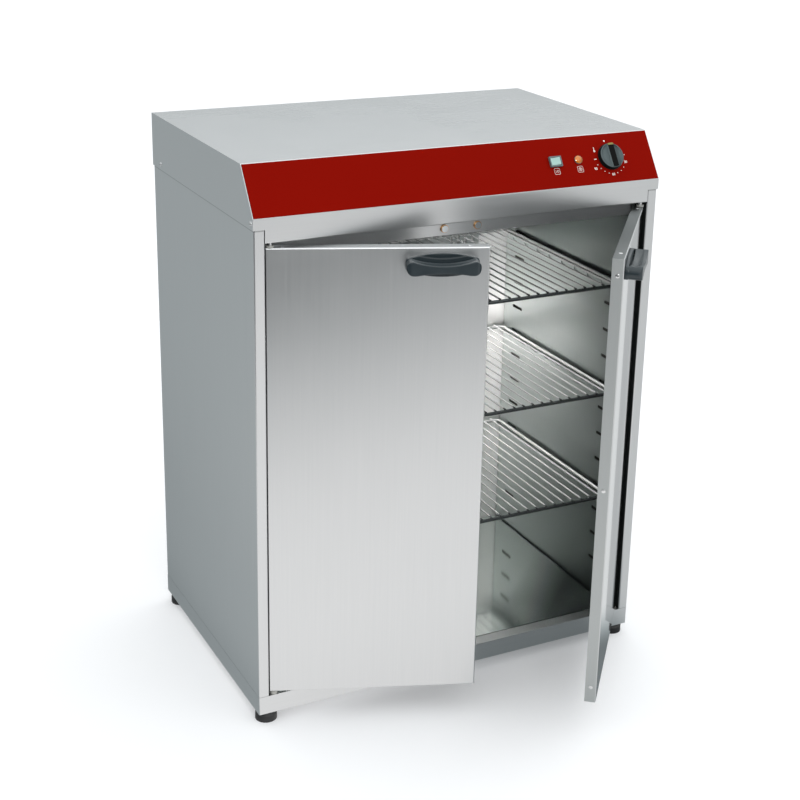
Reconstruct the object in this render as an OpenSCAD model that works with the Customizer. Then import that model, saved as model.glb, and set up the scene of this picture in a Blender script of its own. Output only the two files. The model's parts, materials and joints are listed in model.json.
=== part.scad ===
// Food holding cabinet: heated plate cabinet with two hinged doors and three wire shelves.
// Millimetres. X runs to the right, Y to the back and Z up.
// The floor is Z = 0 and the origin is under the middle of the case.
// The doors stand open as drawn, by left_open and right_open.

/* [Cabinet] */
// Width of the hood, the widest part of the case
cabinet_w = 700; // [600:5:900]
// Depth of the hood
cabinet_d = 460; // [420:5:600]
// Height from the floor to the top of the hood
cabinet_h = 900; // [820:5:1000]
// Thickness of the folded sheet
sheet = 1.2; // [1:0.1:1.5]
// Outside radius of a fold in the sheet
fold_r = 2; // [1.5:0.5:3.5]
// Height of the plinth around the base tray
plinth_h = 31; // [28:1:60]
// How far the hood stands out past the case
hood_lip = 1.5; // [1:0.1:3]

/* [Hood] */
// Height of the hood
hood_h = 88; // [80:1:120]
// Height of the upright band under the fascia
band_h = 17; // [12:1:25]
// How far the sloping front runs back
slope_run = 48; // [40:1:60]

/* [Feet] */
// Height of a foot
foot_h = 18; // [12:1:40]
// Diameter of a foot
foot_d = 35; // [30:1:45]
// Distance between the left and right feet
foot_gap_x = 660; // [540:1:820]
// Distance between the front and rear feet
foot_gap_y = 420; // [360:1:520]

/* [Doors] */
// How far the left door stands open, in degrees
left_open = 21; // [0:1:110]
// How far the right door stands open, in degrees
right_open = 50.5; // [0:0.5:110]
// Thickness of a door
door_t = 18; // [16:1:24]
// Width of the stile beside each door
stile_w = 17; // [14:1:24]
// Gap between a door and its stile
hinge_gap = 2.8; // [2.8:0.1:5]
// Gap between the closed doors
middle_gap = 2; // [1.5:0.1:4]
// Gap under a door
low_gap = 6; // [5:0.5:9]
// Gap over a door
high_gap = 7; // [6:0.5:10]
// How much of the lintel shows under the hood
lintel_show = 21; // [16:1:40]
// Diameter of a hinge pin
pin_d = 6; // [5:0.5:7]
// Distance from the pin's axis to the door's hinge edge
pin_in = 7; // [6:0.5:8]
// Distance from the pin's axis to the door's front face
pin_back = 6; // [5:0.5:7]

/* [Handles] */
// Length of a handle
handle_l = 110; // [90:1:140]
// Height of the handle's back plate
handle_h = 36; // [30:1:44]
// Height of the handle's front at its ends
grip_h = 22; // [20:1:24]
// How far a handle stands out
handle_out = 25.5; // [22:0.5:32]
// Distance from the handle to the door's free edge
handle_side = 15; // [10:1:40]
// Distance from the handle to the door's top edge
handle_top = 8; // [6:1:40]

/* [Cavity] */
// Distance from the case's side to the liner wall
side_wall = 26.5; // [22:0.5:40]
// Distance from the case's back to the liner wall
back_wall = 30.5; // [26:0.5:45]
// Height of the stop strip that shows below the lintel
stop_show = 24; // [22:1:40]
// Room between a closed door and the liner
door_room = 4.5; // [4:0.5:8]
// Pitch of the support slots in the liner walls
slot_pitch = 48; // [40:1:60]
// Length of a support slot
slot_l = 34; // [24:1:44]
// Height of a support slot
slot_h = 6; // [5:0.5:7]
// Slit between the side walls and the back wall
corner_slit = 2; // [1:0.5:3]
// Distance between the two magnets
magnet_gap = 58; // [40:1:90]

/* [Shelves] */
// Height of the lowest shelf above the floor
shelf_low = 260; // [220:1:280]
// Number of shelves
shelf_count = 3; // [1:1:3]
// Diameter of a shelf's frame rod
rod_d = 6; // [5:0.5:8]
// Diameter of a shelf's cross wire
wire_d = 3; // [2.5:0.5:4]
// Number of wires in a shelf
wire_count = 34; // [20:1:40]

/* [Controls] */
// Place of the rocker switch along the fascia, from the middle
switch_x = 165; // [60:1:180]
// Place of the pilot lamp along the fascia
lamp_x = 208; // [190:1:220]
// Place of the knob along the fascia
knob_x = 268; // [250:1:300]
// Height of the controls up the slope
control_s = 44; // [38:1:50]
// Diameter of the knob
knob_d = 44; // [40:1:54]

/* [Hidden] */
$fn = 48;
case_x = cabinet_w / 2 - hood_lip;
case_y = cabinet_d / 2 - hood_lip;
hood_z = cabinet_h - hood_h;
band_z = hood_z + band_h;
slope_a = atan2(hood_h - band_h, slope_run);
slope_l = norm([hood_h - band_h, slope_run]);
plinth_z = foot_h + plinth_h;
case_top = band_z - 4;
seam = 0.4;
lintel_z = hood_z - lintel_show;
stile_x = case_x - stile_w;
stile_deep = 22;
liner_x = case_x - side_wall;
liner_back = case_y - back_wall;
liner_front = -case_y + door_t + door_room;
ceiling_z = lintel_z - stop_show;
floor_z = plinth_z + 1;
door_w = stile_x - hinge_gap - middle_gap / 2;
door_low = plinth_z + low_gap;
door_high = lintel_z - high_gap;
pin_x = stile_x - hinge_gap - pin_in;
pin_y = -case_y + pin_back;
free_u = door_w - pin_in;
inner_v = door_t - pin_back;
fit = 0.05;
bush_d = 10;
handle_u = free_u - handle_side - handle_l / 2;
handle_z = door_high - handle_top - handle_h / 2;
handle_fix = handle_l / 2 - 9;
top_scoop = 7.2;
top_scoop_r = arc_radius(handle_l * 0.42, top_scoop);
low_scoop = 3.5;
low_scoop_r = arc_radius(handle_l * 0.36, low_scoop);
edge_heights = [door_low + 26, (door_low + door_high) / 2, door_high - 26];
cap_places = [24 - pin_in, free_u - 30];
shelf_pitch = slot_pitch * 4;
shelf_x = liner_x - 9;
shelf_front = liner_front + 10;
shelf_rear = liner_back - 14;
runner_z = -rod_d / 2 - 0.05;
slot_first = shelf_low - 3 * slot_pitch;
slot_count = 4 * shelf_count;
slot_rows = [liner_front + 52, liner_back - 50];
vent_x = 256;
vent_low = 610;
vent_high = 678;
vent_deep = 10;
vent_slots = 4;
heater_d = 8.4;
heater_z = foot_h + 16;
heater_x = 270;
heater_y = [-120, -40, 40, 120];
bulb_end = 36;
bulb_y = liner_back - 5;
bulb_z = (vent_low + vent_high) / 2;
shaft_d = 6;
knob_gap = 1.8;
knob_grip = 10;
rocker_turn = 8;
rocker_low = 1;

// Helpers

// a box from its low corner to its high corner
module block(low, high) {
  translate(low)
    cube(high - low);
}

// a round rod from one point to another
module rod(a, b, d) {
  way = b - a;
  translate(a)
    rotate([0, acos(way.z / norm(way)), atan2(way.y, way.x)])
      cylinder(d = d, h = norm(way));
}

// drawn once for the left hand, mirrored for the right
module right_hand() {
  mirror([1, 0, 0])
    children();
}

// flat on the sloping front: x along the case, y up the slope, z out of it
module on_fascia(x, s) {
  translate([0, -cabinet_d / 2, band_z])
    rotate([slope_a, 0, 0])
      translate([x, s, 0])
        children();
}

// a door's own frame: the pin's axis is its origin, u along the door and v to the back
module in_door(open) {
  translate([-pin_x, pin_y, 0])
    rotate([0, 0, -open])
      children();
}

// flat on a door's outer face: x along the door, y up, z out of it
module on_door(u, z) {
  translate([u, -pin_back, z])
    rotate([90, 0, 0])
      children();
}

// points of an arc about a centre
function arc(centre, r, from, to) =
  [for (k = [0 : 6]) centre + r * [cos(from + (to - from) * k / 6), sin(from + (to - from) * k / 6)]];

// a rectangle whose two corners on the x axis are rounded
module fold_outline(size, r) {
  translate([0, r])
    square([size.x, size.y - r]);
  translate([r, 0])
    square([size.x - 2 * r, size.y]);
  for (x = [r, size.x - r])
    translate([x, r])
      circle(r = r);
}

// a block with the folds of its front face upright, at the left and the right
module folded_sides(low, high, r) {
  translate(low)
    linear_extrude(high.z - low.z)
      fold_outline([high.x - low.x, high.y - low.y], r);
}

// a block with the folds of its front face level, at the top and the bottom
module folded_ends(low, high, r) {
  translate([low.x, low.y, high.z])
    rotate([0, 90, 0])
      linear_extrude(high.x - low.x)
        fold_outline([high.z - low.z, high.y - low.y], r);
}

// a block with folds all round its front face
module folded_pan(low, high, r) {
  intersection() {
    folded_sides(low, high, r);
    folded_ends(low, high, r);
  }
}

// a slot with round ends, lying along x
module slot_shape(length, width) {
  square([length - width, width], center = true);
  for (side = [-1, 1])
    translate([side * (length - width) / 2, 0])
      circle(d = width);
}

// a pan head screw with a cross recess, its head on z = 0 and its shank below
module pan_screw(head_d, head_h, shank_d, length) {
  difference() {
    union() {
      cylinder(d = head_d, h = head_h * 0.4);
      translate([0, 0, head_h * 0.4])
        cylinder(d1 = head_d, d2 = head_d * 0.6, h = head_h * 0.6);
      translate([0, 0, -length])
        cylinder(d = shank_d, h = length + 0.1);
    }
    for (turn = [0, 90])
      rotate([0, 0, turn])
        translate([0, 0, head_h])
          cube([head_d * 0.5, 0.9, head_h], center = true);
  }
}

// Case

// tray with the plinth as its skirt, folded in at the top, where the lower hinges screw on
module base_tray() {
  color("silver")
    difference() {
      folded_sides([-case_x, -case_y, foot_h], [case_x, case_y, plinth_z], fold_r);
      folded_sides([-case_x + sheet, -case_y + sheet, foot_h + sheet],
                   [case_x - sheet, case_y - sheet, plinth_z - sheet], fold_r - sheet);
      block([-case_x + 14, -case_y + stile_deep, plinth_z - sheet - 1],
            [case_x - 14, case_y - 14, plinth_z + 1]);
      for (x = [-1, 1], y = [-1, 1])
        translate([x * foot_gap_x / 2, y * foot_gap_y / 2, foot_h - 1])
          cylinder(d = 8.6, h = 4);
      for (x = [-1, 1])
        translate([x * pin_x, pin_y, plinth_z - 4])
          cylinder(d = pin_d + 0.4, h = 6);
    }
}

// side sheet, folded round the front into the stile and round the back into a flange
module left_side_panel() {
  panel_back = case_y - sheet - 0.3;
  color("lightgray")
    difference() {
      folded_sides([-case_x, -case_y, plinth_z + seam], [-stile_x, panel_back, case_top], fold_r);
      folded_sides([-case_x + sheet, -case_y + sheet, 0],
                   [-stile_x - sheet, panel_back - sheet, cabinet_h], fold_r - sheet);
      block([-stile_x - sheet - 1, -case_y + stile_deep, 0], [0, panel_back - sheet, cabinet_h]);
      side_screws()
        cylinder(d = 3.6, h = 20, center = true);
      back_screws()
        cylinder(d = 3.6, h = 20, center = true);
    }
}

module right_side_panel() {
  right_hand()
    left_side_panel();
}

// places of the hood's screws on the left side, z pointing out of the case
module side_screws() {
  for (y = [-case_y + 8, case_y - 40])
    translate([-cabinet_w / 2, y, hood_z + 9])
      rotate([0, -90, 0])
        children();
}

// places of the back panel's screws on the left side, z pointing out of the case
module back_screws() {
  for (z = [plinth_z + 30, (plinth_z + hood_z) / 2, hood_z - 30])
    translate([-case_x + 9, case_y, z])
      rotate([-90, 0, 0])
        children();
}

module back_panel() {
  color("lightgray")
    difference() {
      block([-case_x + 0.3, case_y - sheet, plinth_z + seam], [case_x - 0.3, case_y, case_top]);
      back_screws()
        cylinder(d = 3.6, h = 20, center = true);
      right_hand()
        back_screws()
          cylinder(d = 3.6, h = 20, center = true);
    }
}

// channel between the stiles, its lower leg carries the upper hinges
module front_lintel() {
  color("lightgray")
    difference() {
      folded_ends([-stile_x + 0.3, -case_y, lintel_z],
                  [stile_x - 0.3, -case_y + stile_deep, cabinet_h], fold_r);
      folded_ends([-stile_x - 1, -case_y + sheet, lintel_z + sheet],
                  [stile_x + 1, 0, cabinet_h], fold_r - sheet);
      block([-stile_x - 1, -cabinet_d, case_top], [stile_x + 1, 0, cabinet_h + 1]);
      for (x = [-1, 1])
        translate([x * pin_x, pin_y, lintel_z - 1])
          cylinder(d = pin_d + 0.4, h = 4);
    }
}

// the hood's side view, drawn inwards by a wall, with a fold between its band, slope, top and back
module hood_profile(wall, low) {
  front = fold_r - cabinet_d / 2;
  back = cabinet_d / 2 - fold_r;
  top = cabinet_h - fold_r;
  knee = band_z - fold_r * tan((90 - slope_a) / 2);
  brow = front + (top - knee) / tan(slope_a);
  polygon(concat(
    [[wall - cabinet_d / 2, low]],
    arc([front, knee], fold_r - wall, 180, 90 + slope_a),
    arc([brow, top], fold_r - wall, 90 + slope_a, 90),
    arc([back, top], fold_r - wall, 90, 0),
    [[cabinet_d / 2 - wall, low]]
  ));
}

// a profile in the Y and Z plane, drawn out along X about the middle
module along_x(length) {
  rotate([90, 0, 90])
    linear_extrude(length, center = true)
      children();
}

// what the controls need through the hood and the fascia
module control_holes() {
  on_fascia(switch_x, control_s)
    cube([19.4, 15.4, 20], center = true);
  on_fascia(lamp_x, control_s)
    cylinder(d = 12.4, h = 20, center = true);
  on_fascia(knob_x, control_s)
    cylinder(d = 10.6, h = 20, center = true);
}

// folded hood, open below, with slots for air and the cable's hole at the back
module top_hood() {
  color("gainsboro")
    difference() {
      along_x(cabinet_w)
        hood_profile(0, hood_z);
      along_x(cabinet_w - 2 * sheet)
        hood_profile(sheet, hood_z - 1);
      control_holes();
      side_screws()
        cylinder(d = 3.6, h = 20, center = true);
      right_hand()
        side_screws()
          cylinder(d = 3.6, h = 20, center = true);
      for (n = [0 : 9])
        translate([120 + n * 16, cabinet_d / 2, hood_z + 48])
          rotate([90, 90, 0])
            linear_extrude(8, center = true)
              slot_shape(34, 5);
      gland_place()
        cylinder(d = 20.4, h = 12, center = true);
    }
}

// glossy red sheet on the sloping front
module control_fascia() {
  color("firebrick")
    difference() {
      on_fascia(-cabinet_w / 2 + 1.2, fold_r * 0.4)
        translate([0, 0, 0.05])
          cube([cabinet_w - 2.4, slope_l - fold_r * 1.05, 0.95]);
      control_holes();
    }
}

// foot with a flat sole and a threaded stud
module feet() {
  color("dimgray")
    for (x = [-1, 1], y = [-1, 1])
      translate([x * foot_gap_x / 2, y * foot_gap_y / 2, 0]) {
        cylinder(d = foot_d, h = foot_h * 0.6);
        translate([0, 0, foot_h * 0.6])
          cylinder(d1 = foot_d, d2 = foot_d * 0.66, h = foot_h * 0.4);
        cylinder(d = 8, h = foot_h + 12);
      }
}

module foot_nuts() {
  color("silver")
    for (x = [-1, 1], y = [-1, 1])
      translate([x * foot_gap_x / 2, y * foot_gap_y / 2, foot_h + sheet])
        difference() {
          cylinder(d = 15, h = 6.5, $fn = 6);
          translate([0, 0, -1])
            cylinder(d = 8 + 2 * fit, h = 9);
        }
}

module case_screws() {
  color("silver") {
    side_screws()
      pan_screw(7, 1.9, 3.5, 6);
    back_screws()
      pan_screw(7, 1.9, 3.5, 6);
    right_hand() {
      side_screws()
        pan_screw(7, 1.9, 3.5, 6);
      back_screws()
        pan_screw(7, 1.9, 3.5, 6);
    }
  }
}

// Cavity

// side wall with two rows of support slots and a flange behind the stile
module liner_left() {
  wall_d = liner_back - liner_front - corner_slit;
  color("gainsboro") {
    translate([-liner_x - sheet, 0, 0])
      rotate([90, 0, 90])
        linear_extrude(sheet)
          difference() {
            translate([liner_front, plinth_z - 8])
              square([wall_d, ceiling_z - plinth_z + 8]);
            for (y = slot_rows, n = [0 : slot_count - 1])
              translate([y, slot_first + n * slot_pitch])
                slot_shape(slot_l, slot_h);
          }
    block([-case_x + 2.5, liner_front, plinth_z - sheet + 1.6],
          [-liner_x, liner_front + sheet, ceiling_z]);
  }
}

module liner_right() {
  right_hand()
    liner_left();
}

module liner_rear() {
  color("gainsboro")
    block([-liner_x - sheet, liner_back + 0.1, plinth_z - 8],
          [liner_x + sheet, liner_back + 0.1 + sheet, ceiling_z]);
}

// ceiling, folded up at the front into the strip that stops the doors and holds the magnets
module liner_ceiling() {
  color("gainsboro")
    difference() {
      union() {
        block([-liner_x - sheet, liner_front, ceiling_z + 0.1],
              [liner_x + sheet, liner_back, ceiling_z + 0.1 + sheet]);
        block([-liner_x - sheet, liner_front, ceiling_z + 0.1],
              [liner_x + sheet, liner_front + sheet, lintel_z + 4]);
      }
      magnet_places()
        cylinder(d = 11.2, h = 20, center = true);
      translate([bulb_end, bulb_y, ceiling_z - 2])
        cylinder(d = 5, h = 6);
    }
}

// inverted pan over the heater, with a narrow gap all round for the warm air
module floor_pan() {
  gap = 3;
  color("whitesmoke")
    difference() {
      block([-liner_x + gap, liner_front + 0.5, foot_h + sheet + 0.3],
            [liner_x - gap, liner_back - gap, floor_z]);
      block([-liner_x + gap + sheet, liner_front + 0.5 + sheet, 0],
            [liner_x - gap - sheet, liner_back - gap - sheet, floor_z - sheet]);
      block([-liner_x, heater_y[0] - 15, 0], [-liner_x + 20, heater_y[0] + 15, floor_z - 6]);
      block([-liner_x, heater_y[3] - 15, 0], [-liner_x + 20, heater_y[3] + 15, floor_z - 6]);
    }
}

// slotted cover over the sensor on the back wall
module vent_cover() {
  color("gainsboro")
    difference() {
      block([-vent_x, liner_back - vent_deep, vent_low], [vent_x, liner_back, vent_high]);
      block([-vent_x + sheet, liner_back - vent_deep + sheet, vent_low + sheet],
            [vent_x - sheet, liner_back + 1, vent_high - sheet]);
      translate([0, liner_back, (vent_low + vent_high) / 2])
        rotate([90, 0, 0])
          linear_extrude(20)
            for (side = [-1, 1], n = [0 : vent_slots - 1])
              translate([side * (vent_x - 13 - n * 15), 0])
                rotate(90)
                  slot_shape(38, 5);
      translate([bulb_end, bulb_y, vent_high - 3])
        cylinder(d = 5, h = 6);
    }
}

module insulation_left() {
  color("khaki")
    block([-case_x + 2, liner_front + 3, plinth_z + 2], [-liner_x - 6, case_y - 9, lintel_z + 4]);
}

module insulation_right() {
  right_hand()
    insulation_left();
}

module insulation_rear() {
  color("khaki")
    block([-liner_x + 2, liner_back + 3, plinth_z + 2], [liner_x - 2, case_y - 5, ceiling_z - 1]);
}

module insulation_top() {
  color("khaki")
    difference() {
      block([-liner_x + 2, liner_front + 14, ceiling_z + 2], [liner_x - 2, case_y - 5, lintel_z + 4]);
      translate([bulb_end, bulb_y, ceiling_z])
        cylinder(d = 5, h = 60);
    }
}

// places of the two magnets on the stop strip, z pointing to the front
module magnet_places() {
  for (side = [-1, 1])
    translate([side * magnet_gap / 2, liner_front, ceiling_z + 11])
      rotate([90, 0, 0])
        children();
}

// copper coloured cup with a collar, through the stop strip
module magnet_cups() {
  color("peru")
    magnet_places()
      difference() {
        union() {
          translate([0, 0, -10])
            cylinder(d = 11, h = 11);
          translate([0, 0, 0.05])
            cylinder(d = 13, h = 2.5);
        }
        translate([0, 0, -8])
          cylinder(d = 9 + 2 * fit, h = 20);
        translate([0, 0, 1])
          cylinder(d = 10.8 + 2 * fit, h = 5);
      }
}

module magnet_faces() {
  color("silver")
    magnet_places() {
      translate([0, 0, -7.9])
        cylinder(d = 9, h = 10);
      translate([0, 0, 1.1])
        cylinder(d = 10.8, h = 2.7);
    }
}

// Shelves

// angle along the wall under each shelf, with a hook in the front and the rear slot
module runners_left() {
  color("gainsboro")
    for (n = [0 : shelf_count - 1])
      translate([-liner_x, 0, shelf_low + n * shelf_pitch + runner_z])
        difference() {
          union() {
            block([0.2, shelf_front - 4, -sheet], [16, shelf_rear + 4, 0]);
            block([0.2, shelf_front - 4, -20], [0.2 + sheet, shelf_rear + 4, 0]);
            for (y = slot_rows) {
              block([-3.4, y - 14, 1.6], [0.2 + sheet, y + 14, 1.6 + sheet]);
              block([0.2, y - 14, -sheet], [0.2 + sheet, y + 14, 1.6 + sheet]);
            }
          }
          for (k = [0 : 8])
            translate([0, shelf_front + 20 + k * (shelf_rear - shelf_front - 40) / 8, -11])
              rotate([90, 0, 90])
                linear_extrude(12, center = true)
                  slot_shape(16, 6);
        }
}

module runners_right() {
  right_hand()
    runners_left();
}

// one round rod bent into a frame, with wires from front to back welded on top
module wire_shelf(z) {
  bend_r = 12;
  wire_z = (rod_d + wire_d) / 2 - 0.4;
  pitch = 2 * shelf_x / (wire_count + 1);
  middle = (shelf_front + shelf_rear) / 2;
  color("silver")
    translate([0, 0, z]) {
      for (y = [shelf_front, shelf_rear])
        rod([-shelf_x + bend_r, y, 0], [shelf_x - bend_r, y, 0], rod_d);
      for (x = [-shelf_x, shelf_x])
        rod([x, shelf_front + bend_r, 0], [x, shelf_rear - bend_r, 0], rod_d);
      for (side = [-1, 1], end = [-1, 1])
        translate([side * (shelf_x - bend_r), middle + end * (shelf_rear - middle - bend_r), 0])
          rotate([0, 0, side * end > 0 ? (side > 0 ? 0 : 180) : (side > 0 ? 270 : 90)])
            rotate_extrude(angle = 90)
              translate([bend_r, 0])
                circle(d = rod_d);
      for (n = [1 : wire_count])
        translate([-shelf_x + n * pitch, 0, wire_z])
          rod([0, shelf_front - 2, 0], [0, shelf_rear + 2, 0], wire_d);
    }
}

module wire_shelf_low() {
  wire_shelf(shelf_low);
}

module wire_shelf_middle() {
  wire_shelf(shelf_low + shelf_pitch);
}

module wire_shelf_high() {
  wire_shelf(shelf_low + 2 * shelf_pitch);
}

// Heat and control

// one tube with three hairpin bends, its two cold ends at the left
module heating_element() {
  color("darkgray")
    translate([0, 0, heater_z]) {
      for (y = heater_y)
        rod([-heater_x, y, 0], [heater_x, y, 0], heater_d);
      for (n = [0 : 2])
        translate([(n % 2 == 0 ? 1 : -1) * heater_x, (heater_y[n] + heater_y[n + 1]) / 2, 0])
          rotate([0, 0, n % 2 == 0 ? -90 : 90])
            rotate_extrude(angle = 180)
              translate([40, 0])
                circle(d = heater_d);
      for (y = [heater_y[0], heater_y[3]])
        rod([-heater_x - 28, y, 0], [-heater_x + 1, y, 0], 5);
    }
}

module heater_brackets() {
  color("silver")
    for (x = [-150, 150])
      difference() {
        block([x - 1, -140, foot_h + sheet], [x + 1, 140, heater_z + 9]);
        for (y = heater_y)
          translate([x, y, heater_z])
            rotate([0, 90, 0])
              cylinder(d = heater_d + 2 * fit, h = 10, center = true);
      }
}

module thermostat_body() {
  color("tan")
    on_fascia(knob_x, control_s)
      difference() {
        union() {
          translate([0, 0, -18.5])
            cube([38, 38, 34], center = true);
          translate([0, 0, -2])
            cylinder(d = 10, h = 2.6);
          for (x = [-8, 8])
            translate([x, 0, -39])
              cube([0.8, 6.3, 9], center = true);
        }
        translate([0, 0, -24])
          cylinder(d = shaft_d + 2 * fit, h = 40);
      }
}

// bulb behind the slotted cover, with its capillary up through the ceiling to the thermostat
module sensor_bulb() {
  tube_d = 2;
  run_z = lintel_z + 12;
  low_s = control_s - 10;
  deep = 35.7;
  bends = [
    [bulb_end - 3, bulb_y, bulb_z],
    [bulb_end, bulb_y, bulb_z],
    [bulb_end, bulb_y, run_z],
    [knob_x, -120, run_z],
    [knob_x, low_s * cos(slope_a) + deep * sin(slope_a) - cabinet_d / 2,
     low_s * sin(slope_a) - deep * cos(slope_a) + band_z]
  ];
  color("darkgoldenrod") {
    rod([-bulb_end, bulb_y, bulb_z], [bulb_end - 2, bulb_y, bulb_z], 6);
    for (n = [0 : len(bends) - 2])
      rod(bends[n], bends[n + 1], tube_d);
    for (n = [1 : len(bends) - 2])
      translate(bends[n])
        sphere(d = tube_d + 0.4);
  }
}

// bezel, housing and two blade terminals of the rocker switch
module switch_body() {
  color("darkslategray")
    on_fascia(switch_x, control_s)
      difference() {
        union() {
          translate([0, 0, 3.3])
            cube([21, 17, 4.5], center = true);
          translate([0, 0, -9])
            cube([19, 15, 22], center = true);
          for (x = [-5, 5])
            translate([x, 0, -24])
              cube([0.8, 4.8, 9], center = true);
        }
        translate([0, 0, 0.2])
          cube([17.8, 12.8, 15], center = true);
        translate([0, 0, rocker_low])
          rotate([90, 0, 0])
            cylinder(d = 2.5 + 2 * fit, h = 14.4, center = true);
      }
}

// paddle that rocks on two trunnions, one end pressed
module rocker() {
  color("honeydew")
    on_fascia(switch_x, control_s)
      translate([0, 0, rocker_low])
        rotate([90, 0, 0])
          rotate([0, 0, rocker_turn]) {
            linear_extrude(12, center = true)
              polygon([[-8, 5], [0, 4], [8, 5], [7, -2.6], [-7, -2.6]]);
            cylinder(d = 2.5, h = 14, center = true);
          }
}

module lamp_body() {
  color("dimgray")
    on_fascia(lamp_x, control_s)
      difference() {
        union() {
          translate([0, 0, 1.05])
            cylinder(d = 13.6, h = 1.6);
          translate([0, 0, -24])
            cylinder(d = 12, h = 26);
          for (x = [-3, 3])
            translate([x, 0, -27])
              cube([0.8, 2.8, 8], center = true);
        }
        translate([0, 0, -6])
          cylinder(d = 10.4, h = 12);
      }
}

// domed lens on a stem
module lamp_lens() {
  color("orange")
    on_fascia(lamp_x, control_s) {
      translate([0, 0, -5])
        cylinder(d = 10.2, h = 9);
      translate([0, 0, 2.7])
        cylinder(d = 13, h = 1.3);
      intersection() {
        translate([0, 0, -1])
          sphere(r = 8.2);
        translate([0, 0, 3.9])
          cylinder(d = 13, h = 6);
      }
    }
}

module terminal_block() {
  color("ivory")
    difference() {
      block([-250, cabinet_d / 2 - sheet - 22, hood_z + 30],
            [-196, cabinet_d / 2 - sheet - 0.1, hood_z + 48]);
      for (n = [0 : 2])
        translate([-241 + n * 18, cabinet_d / 2 - 14, hood_z + 40])
          cylinder(d = 6, h = 20);
    }
}

module gland_place() {
  translate([-290, cabinet_d / 2, hood_z + 38])
    rotate([-90, 0, 0])
      children();
}

// gland for the supply cable, z pointing out of the back
module cable_gland() {
  color("dimgray")
    gland_place()
      difference() {
        union() {
          translate([0, 0, -12])
            cylinder(d = 20, h = 14);
          translate([0, 0, 0.05])
            cylinder(d = 27.7, h = 5, $fn = 6);
          translate([0, 0, 5])
            cylinder(d1 = 24, d2 = 16, h = 13);
          translate([0, 0, -7])
            cylinder(d = 27.7, h = 5, $fn = 6);
        }
        translate([0, 0, -20])
          cylinder(d = 9, h = 50);
      }
}

module thermostat_shaft() {
  color("gray")
    on_fascia(knob_x, control_s)
      translate([0, 0, -20])
        cylinder(d = shaft_d, h = 20 + knob_gap + 10);
}

// round knob with a grip across it and a recess at each side of the grip
module thermostat_knob() {
  color("dimgray")
    on_fascia(knob_x, control_s)
      translate([0, 0, knob_gap])
        difference() {
          union() {
            rotate_extrude()
              polygon([[0, 0], [knob_d / 2, 0], [knob_d / 2, 2.5], [knob_d / 2 - 1.5, 8], [0, 8]]);
            intersection() {
              translate([-knob_grip / 2, -knob_d / 2, 7])
                cube([knob_grip, knob_d, 4.4]);
              cylinder(d = knob_d - 4, h = 20);
            }
          }
          for (side = [-1, 1])
            intersection() {
              translate([side * (knob_grip + knob_d) / 2, 0, 10.5])
                cube([knob_d, knob_d, 8], center = true);
              cylinder(d = knob_d - 6, h = 30);
            }
          translate([0, 0, -1])
            cylinder(d = shaft_d + 2 * fit, h = 11.2);
          translate([0, knob_d / 2 - 1.3, 10.9])
            cube([knob_grip + 4, 8, 3], center = true);
        }
}

// inlaid mark across the upper end of the grip
module knob_pointer() {
  color("gold")
    on_fascia(knob_x, control_s)
      translate([0, 0, knob_gap + 9.5])
        intersection() {
          translate([-knob_grip / 2, knob_d / 2 - 5.2, 0])
            cube([knob_grip, 7, 2]);
          cylinder(d = knob_d - 4, h = 4);
        }
}

// Hinges

// plate inside the lintel or the tray with the pin that the door turns on
module hinge(plate_z, tip_z) {
  color("silver")
    translate([-pin_x, pin_y, 0]) {
      translate([0, 0, plate_z])
        linear_extrude(2.5) {
          circle(d = pin_d);
          translate([0, -pin_d / 2])
            square([34, 13.5]);
        }
      translate([0, 0, min(plate_z, tip_z)])
        cylinder(d = pin_d, h = abs(tip_z - plate_z));
    }
}

module left_hinge_top() {
  hinge(lintel_z + sheet + 0.1, door_high - 10);
}

module left_hinge_low() {
  hinge(plinth_z - sheet - 2.6, door_low + 10);
}

module right_hinge_top() {
  right_hand()
    left_hinge_top();
}

module right_hinge_low() {
  right_hand()
    left_hinge_low();
}

// Doors, drawn for the left hand in the door's own frame

// holes for the bushes at the top and the bottom
module bush_holes() {
  for (z = [door_low - 2, door_high - 14])
    translate([0, 0, z])
      cylinder(d = bush_d + 2 * fit, h = 16);
}

// folded outer skin, open at the back
module door_skin() {
  color("lightgray")
    difference() {
      folded_pan([-pin_in, -pin_back, door_low], [free_u, inner_v, door_high], fold_r);
      folded_pan([-pin_in + sheet, -pin_back + sheet, door_low + sheet],
                 [free_u - sheet, inner_v + 1, door_high - sheet], fold_r - sheet);
      bush_holes();
      door_fixings()
        cylinder(d = 3.6, h = 8, center = true);
      handle_fixings()
        cylinder(d = 4.2, h = 8, center = true);
    }
}

// inner panel, folded into the skin
module door_inner() {
  edge = sheet + 0.1;
  color("gainsboro")
    difference() {
      block([-pin_in + edge, inner_v - 14, door_low + edge], [free_u - edge, inner_v, door_high - edge]);
      block([-pin_in + edge + sheet, -pin_back, door_low + edge + sheet],
            [free_u - edge - sheet, inner_v - sheet, door_high - edge - sheet]);
      bush_holes();
      door_fixings()
        cylinder(d = 3.6, h = 12, center = true);
    }
}

module door_core() {
  edge = 2 * sheet + 8;
  color("khaki")
    difference() {
      block([-pin_in + edge, -pin_back + sheet + 0.1, door_low + edge],
            [free_u - edge, inner_v - sheet - 0.1, door_high - edge]);
      for (z = [door_low, door_high])
        translate([0, 0, z - 16])
          cylinder(d = bush_d + 2, h = 32);
      handle_fixings()
        cylinder(d = 12, h = 40, center = true);
    }
}

// places of the edge, top and bottom screws, z pointing out of the door
module door_fixings() {
  middle = door_t / 2 - pin_back;
  for (z = edge_heights)
    translate([free_u, middle, z])
      rotate([0, 90, 0])
        children();
  for (u = cap_places) {
    translate([u, middle, door_high])
      children();
    translate([u, middle, door_low])
      rotate([180, 0, 0])
        children();
  }
}

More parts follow.
